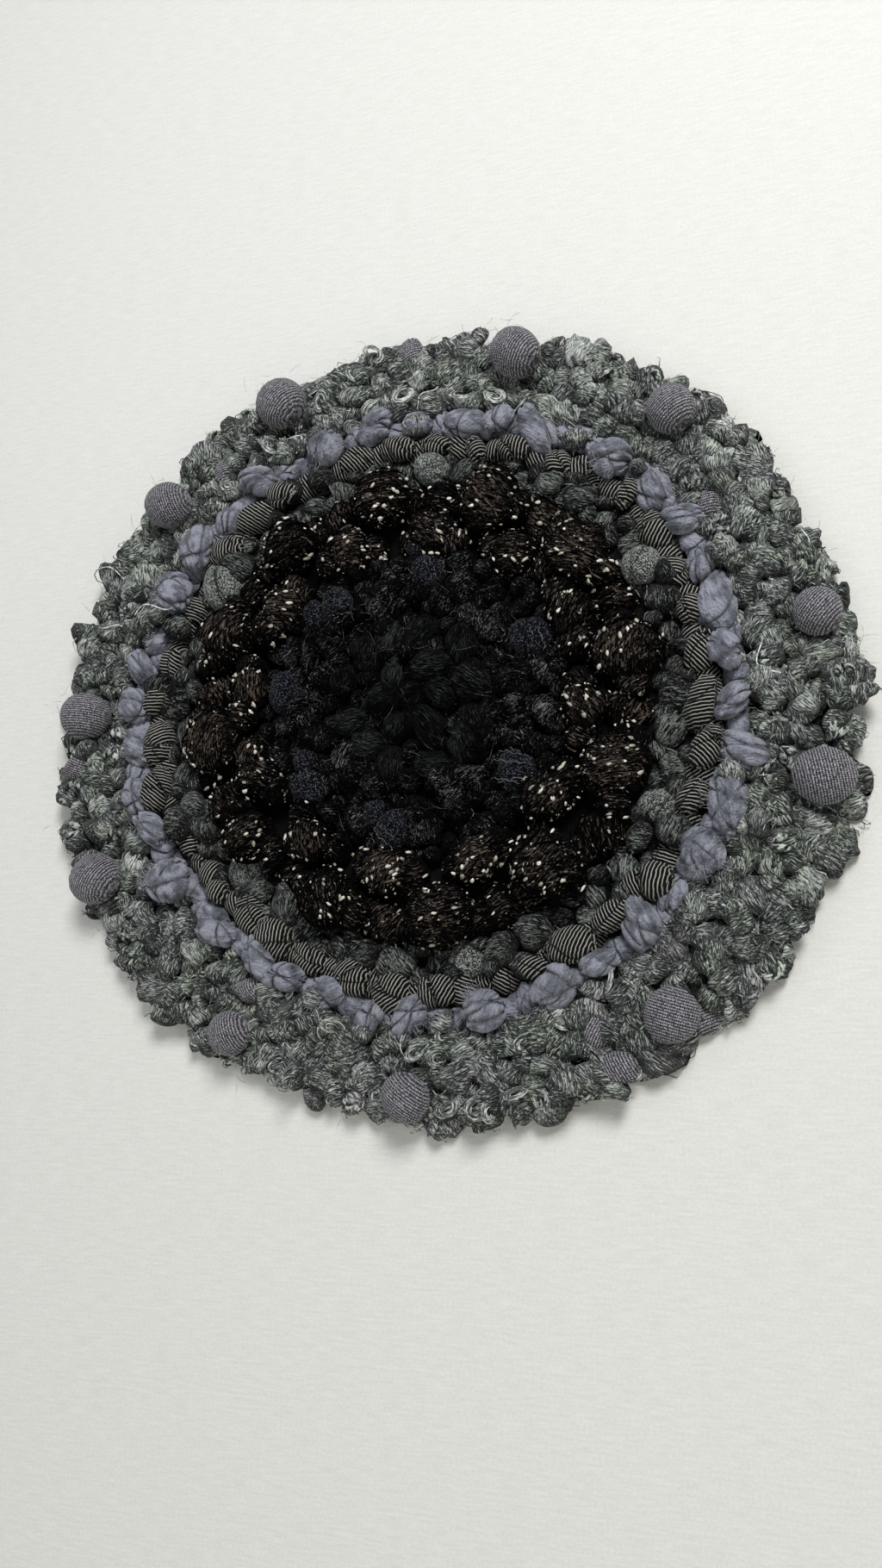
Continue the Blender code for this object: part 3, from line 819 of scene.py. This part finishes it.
rng = np.random.default_rng(24)
heap = Heap()
front = front_of("striped_rope")
add_ground(heap, *STRIPED_RADII, 1)
for place, around in row_of_knots(front, *STRIPED_RADII, STRIPED_KNOTS):
    place += rng.uniform(*KNOT_STRAY, 3) * MM * ALONG_WALL
    size = np.array(STRIPED_LUMP) * rng.uniform(0.65, 1.2)
    lump = lump_at(place, around, size, rng, rng.normal(-0.3, 0.3), 0.15)
    slant = rng.uniform(-0.7, 0.7)
    wad_of_cloth(
        heap, lump, rng, 4, 0.5, layers=2, pleats=3, pleat_depth=0.22, run=(1.0, slant, 0.0),
        lapped_run=(1.0, slant + rng.choice((-0.6, 0.6)), 0.0), cut=-0.5,
    )
for place, around in row_of_knots(front, *STRIPED_RADII, STRIPED_KNOTS, 0.0):
    place[1] = min(place[1], GROUND_FRONT) - STRIPED_LOW_ROW
    lump = lump_at(place, around, np.array(STRIPED_LUMP) * (0.8, 0.95, 0.85), rng, rng.normal(0.5, 0.3), 0.1)
    wad_of_cloth(heap, lump, rng, 3, 0.5, layers=1, pleats=3, run=(1.0, rng.uniform(-0.6, 0.6), 0.0))
striped_rope = heap.join("striped_jersey_rope", (striped_jersey, black_ground_and_painted_shade))
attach(striped_rope, "root")
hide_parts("striped_rope")


# The rag rope: a torn strip of soft violet-grey cotton, knotted at every turn and laid outside the striped
# one. Each knot laps over itself in sharp creases, and its torn edges fray.
RAG_RADII = (248, 272)
RAG_KNOTS = 42
RAG_LUMP = (17.5, 11.5, 11.0)
RAG_LOW_ROW = 9 * MM
RAG_LOWEST_ROW = 2 * MM
FRAYED_KNOTS = 0.5
FRAY_THICK = 0.16 * MM
FRAY_LENGTH = 7 * MM

# Washed cotton crepe: matt and crinkled. Down in its creases it is painted nearly black as shade, and its
# crinkles are painted lighter and darker as their shading. Its finest crinkle is about 1 mm and is drawn
# coarser, so that it shows.
rag_cotton, tree, shader, place = new_material("violet_grey_cotton_crepe", "#5E5D67", 0.9, 0.12)
cloth = add_node(tree, "UVMap", uv_map="cloth")
gathered = add_node(tree, "Mapping", {"Vector": cloth, "Scale": (1 / (12 * MM), 1 / (3.4 * MM), 1.0)})
feeds = {"Vector": gathered, "Scale": 1.0, "Detail": 2.0, "Distortion": 0.5}
gathers = add_node(tree, "TexNoise", feeds)
feeds = {"Vector": place, "Scale": 1 / (1.9 * MM), "Detail": 2.0, "Roughness": 0.6}
fine = add_node(tree, "TexNoise", feeds)
crinkle = add_node(tree, "Math", {0: gathers, 1: 1.8, 2: fine}, operation="MULTIPLY_ADD")
patches = add_node(tree, "TexNoise", {"Vector": place, "Scale": 1 / (14 * MM), "Detail": 2.0})
# The crinkle in the colour is painted shading; the large patches are the cloth's own uneven colour.
both = add_node(tree, "Math", {0: crinkle, 1: 0.3, 2: patches}, operation="MULTIPLY_ADD")
faint = add_node(tree, "MapRange", {"Value": patches, "From Min": 0.36, "From Max": 0.62})
creases = add_node(tree, "Math", {0: creases_of(tree, 0.045), 1: faint}, operation="MULTIPLY")
colours = ((0.58, "#2C2D33"), (1.0, "#8B8D98"), (0.85, "#666871"))
# Painted shade in the creases, fading out where the patches say.
mixed = painted_shade_in_creases(tree, both, colours, creases, "#15141A")
relief = add_node(tree, "Math", {0: creases, 1: -1.2, 2: crinkle}, operation="MULTIPLY_ADD")
finish_surface(tree, shader, mixed, relief, 1.0, 2.0 * MM)
# Frayed threads: the rag's own cotton, pulled out at a torn edge, a little lighter for being single.
frayed_thread = spun_yarn("frayed_cotton_thread", ("#6C6B76", "#9A98A2", "#C9C8CC"), 0.4, 3.0, 0.9, 0.3)


def fray(heap, lump, rng, threads, kind):
    """Threads that stand out of a torn edge, in a small fan on one side of a knot."""
    spot = unit(np.array([rng.uniform(-1, 1), rng.choice((-1.0, 1.0)), rng.uniform(0.1, 0.8)]))
    spots = unit(spot + rng.normal(0, 0.22, (threads, 3)))
    out = unit((spots / lump.size) @ lump.frame)
    lean = unit(out + rng.normal(0, 0.7, (threads, 3)))
    root = lump.middle + (spots * lump.size) @ lump.frame
    share = np.linspace(0, 1, 5)[None, :, None]
    length = rng.uniform(0.4, 1.2, (threads, 1, 1)) * FRAY_LENGTH
    paths = root[:, None] + length * (share * out[:, None] * (1 - share * 0.4) + share**2 * lean[:, None])
    paths[..., 1] = np.minimum(paths[..., 1], GROUND_FRONT)
    away = np.broadcast_to(np.cross(out, lean)[:, None], paths.shape)
    thick = np.broadcast_to(FRAY_THICK * np.linspace(1.1, 0.5, 5), (threads, 5))
    heap.lay(paths, away, thick, rng.uniform(0, 1, threads), kind)


rng = np.random.default_rng(25)
heap = Heap()
front = front_of("rag_rope")
add_ground(heap, *RAG_RADII, 2)
for place, around in row_of_knots(front, *RAG_RADII, RAG_KNOTS):
    if place[1] > GROUND_FRONT - LEAST_KNOT_HEIGHT:
        continue
    place += rng.uniform(*WIDE_STRAY, 3) * MM * ALONG_WALL
    size = np.array(RAG_LUMP) * rng.uniform(0.75, 1.25)
    lump = lump_at(place, around, size, rng, rng.normal(0.25, 0.5), 0.2)
    wad_of_cloth(heap, lump, rng, 4, 0.5, layers=3, pleats=3, pleat_depth=0.2, crease=0.14, lap=0.13)
    if rng.random() < FRAYED_KNOTS:
        fray(heap, lump, rng, 14, 1)
for place, around in row_of_knots(front, *RAG_RADII, RAG_KNOTS, 0.0):
    place[1] = min(place[1], GROUND_FRONT) - RAG_LOW_ROW
    lump = lump_at(place, around, np.array(RAG_LUMP) * (0.9, 0.95, 0.9), rng, rng.normal(-0.5, 0.4), 0.2)
    wad_of_cloth(heap, lump, rng, 3, 0.5, layers=2, pleats=3, pleat_depth=0.25, crease=0.1, lap=0.1)
# Low wads of the same rag close the gaps between its knots, so that no bare ground shows there.
under_rng = np.random.default_rng(28)
for first in (0.25, 0.75):
    for place, around in row_of_knots(front, *RAG_RADII, RAG_KNOTS, first):
        place[1] = GROUND_FRONT - RAG_LOWEST_ROW
        lump = lump_at(place, around, RAG_LUMP, under_rng, under_rng.normal(0, 0.4), 0.2)
        wad_of_cloth(heap, lump, under_rng, 2, 0.5, layers=1, pleats=3, pleat_depth=0.2)
rag_rope = heap.join("cotton_rag_rope", (rag_cotton, frayed_thread, black_ground_and_painted_shade))
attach(rag_rope, "root")
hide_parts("rag_rope")


# Six rosettes of the same rag, rolled up and stitched down on the rag rope, with their torn edges out. They
# are rolled a little smaller than the room that they are given.
ROSETTE_SHARE = 0.93


def lump_filling(low, high, rng, bumpy, share=1.0):
    """A lump that fills a solid's box, down to the flat back that it is sewn on by."""
    half = (high - low) / 2
    deep = half[1] / BALL_BEFORE_CUT
    place = np.array([(low + high)[0] / 2, low[1] + deep, (low + high)[2] / 2])
    size = np.array([half[0], half[2], deep]) * share
    return Lump(place, turned_on_wall(rng), size, bumps_of(rng, bumpy))


for number, node, low, high in solids_named("rag_knot"):
    lump = lump_filling(low, high, rng, 0.05, ROSETTE_SHARE)
    heap = Heap()
    wad_of_cloth(
        heap, lump, rng, 5, 0.5, cut=-0.8, layers=3, pleats=4, pleat_depth=0.2, crease=0.12, lap=0.09
    )
    fray(heap, lump, rng, 24, 1)
    fray(heap, lump, rng, 16, 1)
    rosette = heap.join(f"rag_rosette_{number:02d}", (rag_cotton, frayed_thread))
    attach(rosette, "root")
    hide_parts(node)


# The wool field: three rows of tufts in grey-green wool, each a small hank of fine strands. Silky ringlets,
# chain knots of plied yarn and brushed haze are worked in among them. It makes the outline of the piece.
WOOL_RADII = (272, 294, 316, 338)
WOOL_KNOTS = 54
WOOL_TUFT = (13.5, 11.0, 10.5)
WOOL_FINENESS = 3.6
WOOL_STRAY = (4 * MM, 3 * MM, 4 * MM)
WOOL_OVER_HEIGHT = 14 * MM
INNERMOST_ROW = -0.05
EDGE_ROW = 0.9
WOOL_THICK = 0.45 * MM
WOOL_CURL = 1.8 * MM
# Wool tufts get less of the painted shade down between them.
WOOL_PAINTED_SHADE_BETWEEN = 0.28
RINGLET_THICK = 0.42 * MM
RINGLET_STRANDS = 8
RINGLET_RADIUS = (7.5, 11.5)
RINGLET_RISE = (2, 8)
PLY_THICK = 1.35 * MM
RIB_PITCH = 2.1 * MM
STITCH_PITCH = 1.5 * MM
RINGLETS_OVER = 0.97
CHAIN_KNOTS_UNDER = 0.05
CURLY_TUFTS = 0.6
SILKY_TUFTS = 0.07
LARGE_TUFTS = 0.12
TUFTS_WITH_ENDS = 0.3
TUFTS_WITH_HAZE = 0.55
WRAPPED_LUMPS = 16
WRAPPED_LUMP = (16.0, 11.5, 11.5)
EDGE_LOOPS = 18
EDGE_LOOP_RADIUS = (7, 10)
THREAD_LENGTH = (20, 38)
THREAD_BEND = (4, 9)
CHAIN_REACH = 8 * MM
CHAIN_HALF_WIDTH = 5 * MM
CHAIN_RISE = 3.5 * MM
TUFTS_WITH_THREAD = 12 / 486

# Grey-green wool: woollen-spun, each strand mixed from light and dark fleece. Its near-black shade is
# painted shade in the gaps between strands, and its lightest shade is partly a painted highlight.
wool_shades_and_painted_light = ("#060707", "#404543", "#BCC1BB")
grey_wool = spun_yarn("grey_green_wool", wool_shades_and_painted_light, 0.7, 1.7, 0.95, 0.85, 0.12, curl=0.8)
# It was dyed unevenly, so it turns a little greener in one place and a little more violet in another.
tree = grey_wool.node_tree
undyed = tree.nodes["Principled BSDF"].inputs["Base Color"]
spun = undyed.links[0].from_socket
place = add_node(tree, "TexCoord", out="Object")
dye = add_node(tree, "TexNoise", {"Vector": place, "Scale": 1 / (30 * MM), "Detail": 1.0})
colours = ((0.36, "#F2F6EB"), (0.64, "#F8F2F7"), (0.5, "#FAFBFA"))
tint = add_node(tree, "ValToRGB", {"Fac": dye}, stops=colours)
dyed = add_node(tree, "Mix", {0: 1.0, 6: spun, 7: tint}, 2, data_type="RGBA", blend_type="MULTIPLY")
tree.links.new(dyed, undyed)
# Silky fleece: combed locks of long lustre wool, lighter and with a thin gloss.
silky_fleece = spun_yarn("lustre_fleece", ("#141716", "#737975", "#DEE1DB"), 0.3, 5.0, 0.8, 0.5, 0.15)
# The grey ground's dark front is painted shade where it shows between the tufts.
grey_ground_and_painted_shade = sewing_ground("grey_ground_cloth", "#1D201E", "#7C827D", 3.8)
# Heather jersey: a fine cotton knit of mixed violet, brown and grey yarn, whose ribs run one way over the
# ball. Its ribs are about 1.4 mm apart, and its stitches are finer. Both are drawn coarser, so that they
# show.
heather_jersey, tree, shader, place = new_material("heather_cotton_jersey", "#5F5D63", 0.85, 0.15)
cloth = add_node(tree, "UVMap", uv_map="cloth")
across, down = (add_node(tree, "SeparateXYZ", {"Vector": cloth}, axis) for axis in "XY")
ribs = waves_along(tree, across, RIB_PITCH)
stitches = waves_along(tree, down, STITCH_PITCH)
knit = add_node(tree, "Math", {0: stitches, 1: 0.45, 2: ribs}, operation="MULTIPLY_ADD")
fibres = add_node(tree, "TexNoise", {"Vector": place, "Scale": 1 / (1.2 * MM), "Detail": 2.0})
level = add_node(tree, "Math", {0: knit, 1: 0.15, 2: fibres}, operation="MULTIPLY_ADD")
# Painted shade and highlight: the knit's grooves are darkened and its ridges lightened in the colour; the
# fibres' mottle is the yarn's own mix.
colours = ((0.28, "#151416"), (0.76, "#A5A2A8"), (0.5, "#4A494E"))
colour = add_node(tree, "ValToRGB", {"Fac": level}, stops=colours)
finish_surface(tree, shader, colour, knit, 0.6, 0.35 * MM)


def ringlet(heap, place, out, rng, kind):
    """A curl of silky fleece: strands that lie side by side and turn in on themselves."""
    strands, steps = RINGLET_STRANDS, 13
    tilted = unit(out + rng.normal(0, 0.5, 3))
    first = unit(np.cross(tilted, rng.normal(0, 1, 3)))
    second = np.cross(tilted, first) * rng.uniform(0.6, 0.95)
    angle = np.linspace(0, rng.uniform(3.5, 6.5), steps + 1)[None, :, None] + rng.uniform(*ANY_PHASE)
    radius = rng.uniform(*RINGLET_RADIUS) * MM * (1 - 0.5 * np.linspace(0, 1, steps + 1))[None, :, None]
    radius = radius + np.linspace(-2.6, 2.6, strands)[:, None, None] * MM
    rise = np.sin(np.linspace(0, math.pi, steps + 1))[None, :, None] * rng.uniform(*RINGLET_RISE) * MM
    rise = rise + rng.uniform(-0.8, 0.8, (strands, 1, 1)) * MM
    paths = place + radius * (np.cos(angle) * first + np.sin(angle) * second) + rise * out
    away = np.broadcast_to(out, paths.shape)
    thick = RINGLET_THICK * (1 - 0.6 * np.linspace(-1, 1, steps + 1) ** 4)
    thick = np.broadcast_to(thick, (strands, steps + 1))
    heap.lay(paths, away, thick, rng.normal(0.62, 0.22, strands), kind)


def plied(heap, spine, out, rng, tone, kind, strands=5, wide=2.2 * MM, turns=1.3):
    """Strands twisted together along a line, as a plied yarn."""
    steps = len(spine) - 1
    run = unit(np.gradient(spine, axis=0))
    side = unit(np.cross(run, out))
    over = np.cross(side, run)
    phase = np.linspace(0, 2 * math.pi * turns, steps + 1)
    phase = phase[None, :] + 2 * math.pi * np.arange(strands)[:, None] / strands
    girth = wide * np.sin(np.linspace(0.25, math.pi - 0.25, steps + 1))[None, :, None]
    away = np.cos(phase)[..., None] * side + np.sin(phase)[..., None] * over
    thick = np.broadcast_to(PLY_THICK * np.sin(np.linspace(0.4, math.pi - 0.4, steps + 1)), phase.shape)
    heap.lay(spine + girth * away, away, thick, rng.normal(tone, 0.12, strands), kind)


def edge_loop(heap, place, around, rng, kind):
    """A loop of plied yarn that stands out past the rim."""
    outward = np.cross(around, FROM_WALL)
    turn = np.linspace(-2.3, 2.3, 15)[:, None]
    size = rng.uniform(*EDGE_LOOP_RADIUS) * MM
    spine = place + outward * np.cos(turn) * size + around * np.sin(turn) * size
    spine = spine + FROM_WALL * np.cos(turn + rng.uniform(-1, 1)) * 2 * MM
    plied(heap, spine, FROM_WALL, rng, rng.uniform(0.45, 0.7), kind, 3, 1.9 * MM, 2.6)


def loose_thread(heap, place, rng, kind):
    """A pale thread left loose on the surface, in a bent line."""
    share = np.linspace(0, 1, 13)[:, None]
    way = unit(rng.normal(0, 1, 3) * ALONG_WALL)
    side = np.cross(way, FROM_WALL)
    length = rng.uniform(*THREAD_LENGTH) * MM
    bend = np.sin(share * rng.uniform(3.5, 7.0) + rng.uniform(0, 6)) * rng.uniform(*THREAD_BEND) * MM
    path = place + way * (share - 0.5) * length + side * bend + FROM_WALL * (4 * MM)
    away = np.broadcast_to(FROM_WALL, (1, 13, 3))
    heap.lay(path[None], away, np.full((1, 13), rng.uniform(0.35, 0.7) * MM), 0.9, kind, 4)


def chain_knot(heap, place, around, out, rng, kind):
    """A chain stitch in plied yarn: two legs that meet in a V."""
    tone = rng.uniform(0.3, 0.75)
    share = np.linspace(0, 1, 9)[:, None]
    across = np.cross(out, around)
    for hand in (-1, 1):
        start = place - around * CHAIN_REACH + across * hand * CHAIN_HALF_WIDTH
        tip = place + around * CHAIN_REACH + across * hand * 0.8 * MM
        spine = start + (tip - start) * share + out * np.sin(share * math.pi) * CHAIN_RISE
        spine = spine + across * hand * np.sin(share * math.pi) * 1.5 * MM
        plied(heap, spine, out, rng, tone, kind, wide=2.0 * MM)


rng = np.random.default_rng(26)
front = front_of("wool_field")
for row, name in enumerate(("wool_inner_row", "wool_middle_row", "wool_outer_row")):
    heap = Heap()
    inner, outer = WOOL_RADII[row : row + 2]
    add_ground(heap, inner, outer - (4 if row == 2 else 0), 2)
    first = 0.0 if row % 2 else 0.5
    wrapped = rng.choice(2 * WOOL_KNOTS, WRAPPED_LUMPS // (2 if row == 2 else 4), replace=False)
    looped = rng.choice(WOOL_KNOTS, EDGE_LOOPS, replace=False) if row == 2 else ()
    places = [(first - 0.25, 0.35), (first + 0.25, 0.6), (first + 0.5, EDGE_ROW)]
    if row == 2:
        places.append((first, 0.88))
    if row == 0:
        places.append((first, INNERMOST_ROW))
    number = 0
    for half_step, across in places:
        for place, around in row_of_knots(front, inner, outer, WOOL_KNOTS, half_step, across):
            place = place + rng.uniform(-1, 1, 3) * WOOL_STRAY
            # Ringlets gather on two sides of the piece, and chain knots on the other two.
            angle = math.atan2(place[2] - middle.z, place[0])
            kind_here = rng.random() + 0.25 * math.sin(2 * angle - 1.9)
            number += 1
            if number in wrapped:
                lump = lump_at(place, around, WRAPPED_LUMP, rng, rng.uniform(*ANY_LIE), bumpy=0.06)
                wad_of_cloth(heap, lump, rng, 4, 0.5, kind=3, layers=1, pleats=4, pleat_depth=0.15)
                continue
            if across == EDGE_ROW and number % WOOL_KNOTS in looped:
                edge_loop(heap, place, around, rng, 0)
            size = np.array(WOOL_TUFT) * rng.uniform(0.75, 1.25)
            if across < 0:
                size = size * 0.75
                place[1] = min(place[1], GROUND_FRONT - 6 * MM)
                if rng.random() < OVER_NEXT_ROUND:
                    place += np.cross(FROM_WALL, around) * OVER_BY + FROM_WALL * WOOL_OVER_HEIGHT
            elif rng.random() < LARGE_TUFTS:
                size = size * 1.3
            lump = lump_at(place, around, size, rng, rng.uniform(*ANY_LIE), 0.5, 0.12, WOOL_FINENESS)
            tone = rng.uniform(0.4, 0.68)
            curly = rng.random() < CURLY_TUFTS
            wound_lump(
                heap, lump, rng, *((2, 13) if curly else (4, 7)), WOOL_THICK, tone,
                twist=rng.uniform(-0.5, 0.5), ends=rng.random() < TUFTS_WITH_ENDS,
                kind=int(rng.random() < SILKY_TUFTS), stray=0.12, tone_spread=0.25,
                loops=3.2 * curly, loop_size=WOOL_CURL, subdivisions=2 if across < 0 else 3,
                darker=WOOL_PAINTED_SHADE_BETWEEN,
            )
            if kind_here > RINGLETS_OVER:
                ringlet(heap, place + 4.5 * MM * lump.frame[2], lump.frame[2], rng, 1)
            elif kind_here < CHAIN_KNOTS_UNDER:
                chain_knot(heap, place, lump.frame[0], lump.frame[2], rng, 0)
            if rng.random() < TUFTS_WITH_HAZE:
                haze(heap, place, lump.frame[2], rng, 5, 0)
            if rng.random() < TUFTS_WITH_THREAD:
                loose_thread(heap, place, rng, 1)
    for half_step, across in ((0.0, 0.3), (0.5, 0.65)):
        for place, around in row_of_knots(front, inner, outer, WOOL_KNOTS, half_step, across):
            place[1] = min(place[1], GROUND_FRONT - 8 * MM)
            lump = lump_at(place, around, WOOL_TUFT, rng, rng.uniform(*ANY_LIE), 0.5, 0.12, WOOL_FINENESS)
            add_heart(heap, lump, rng.uniform(0.3, 0.5), subdivisions=2)
    wool_row = heap.join(name, (grey_wool, silky_fleece, grey_ground_and_painted_shade, heather_jersey))
    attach(wool_row, "root")
    if row == 0:
        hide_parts("wool_field")


# Eleven balls of heather jersey round the rim: each a wad of filling in a scrap of fine ribbed knit, pulled
# together at the back and sewn down.
rng = np.random.default_rng(27)
for number, node, low, high in solids_named("jersey_ball"):
    lump = lump_filling(low, high, rng, 0.03)
    heap = Heap()
    wad_of_cloth(
        heap, lump, rng, 4, 0.5, cut=-0.8, layers=0, pleats=7, pleat_depth=0.1, lumpy=0.012,
        run=(1.0, 0.2, 0.0),
    )
    top = lump.middle + FROM_WALL * lump.size[2] * TOP_BEFORE_MIDDLE
    haze(heap, top, FROM_WALL, rng, 16, 1, lump.size[0] * 0.5)
    ball = heap.join(f"stuffed_jersey_ball_{number:02d}", (heather_jersey, grey_wool))
    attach(ball, "root")
    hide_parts(node)


# The stage: a pale papered wall behind, a pale floor well below, and soft lamps, the main one at the right.
# Wall paper: matt, with the relief of a linen weave. Its threads are drawn coarser than real ones, so that
# they show.
wall_paper, tree, shader, place = new_material("pale_wall_paper", "#CFCFC9", 0.9, 0.0)
weave = 0.0
for stretch in ((1.0, 1.0, 0.08), (0.12, 1.0, 1.0)):
    mapped = add_node(tree, "Mapping", {"Vector": place, "Scale": stretch})
    threads = add_node(tree, "TexNoise", {"Vector": mapped, "Scale": 1 / (2.2 * MM), "Detail": 1.0})
    weave = add_node(tree, "Math", {0: weave, 1: threads}, operation="ADD")
mean = add_node(tree, "Math", {0: weave, 1: 0.5}, operation="MULTIPLY")
colour = add_node(tree, "ValToRGB", {"Fac": mean}, stops=((0.35, "#CACAC4"), (0.65, "#D3D3CE")))
finish_surface(tree, shader, colour, weave, 0.3, 0.3 * MM)
# Seen from behind, the wall is clear, so that the hanging's back can be looked at.
clear = add_node(tree, "BsdfTransparent")
behind = add_node(tree, "NewGeometry", out="Backfacing")
shown = add_node(tree, "MixShader", {0: behind, 1: shader.outputs[0], 2: clear})
tree.links.new(shown, tree.nodes["Material Output"].inputs["Surface"])

floor_finish = new_material("pale_floor", "#DAD8D2", 0.8, 0.0)[0]

FLOOR_LEVEL = -1.35
STAGE_REACH = 4.0
WALL_GAP = 1 * MM
WALL_MIDDLE = 0.4
ROOM_GLOW = 0.26

for name, finish, corner, way in (
    ("wall", wall_paper, (0, WALL_GAP, WALL_MIDDLE), (math.pi / 2, 0, 0)),
    ("floor", floor_finish, (0, 0, FLOOR_LEVEL), (0, 0, 0)),
):
    bm = bmesh.new()
    bmesh.ops.create_grid(bm, x_segments=1, y_segments=1, size=STAGE_REACH)
    mesh = bpy.data.meshes.new(name)
    bm.to_mesh(mesh)
    bm.free()
    mesh.materials.append(finish)
    board = bpy.data.objects.new(name, mesh)
    board.location = corner
    board.rotation_euler = way
    board.visible_shadow = name == "floor"
    bpy.context.scene.collection.objects.link(board)

Lamp = namedtuple("Lamp", "name place size power colour")
LAMPS = (
    Lamp("window_light", (0.9, -2.2, 1.0), 0.9, 74, "#FFFFFF"),
    Lamp("room_light", (-1.8, -2.4, 0.2), 2.2, 16, "#EEF3FF"),
    Lamp("back_light", (0.8, 2.2, 0.6), 1.6, 60, "#FFFFFF"),
)
for lamp in LAMPS:
    light = bpy.data.lights.new(lamp.name, "AREA")
    light.size = lamp.size
    light.energy = lamp.power
    light.color = linear(lamp.colour)[:3]
    stand = bpy.data.objects.new(lamp.name, light)
    stand.location = lamp.place
    towards = middle - Vector(lamp.place)
    stand.rotation_euler = towards.to_track_quat("-Z", "Y").to_euler()
    bpy.context.scene.collection.objects.link(stand)
world = bpy.data.worlds.new("room")
world.use_nodes = True
glow = world.node_tree.nodes["Background"]
glow.inputs["Color"].default_value = linear("#E8ECF2")
glow.inputs["Strength"].default_value = ROOM_GLOW
bpy.context.scene.world = world

# The photograph keeps its whites white and its blacks black, as Blender's standard view does.
bpy.context.scene.view_settings.view_transform = "Standard"
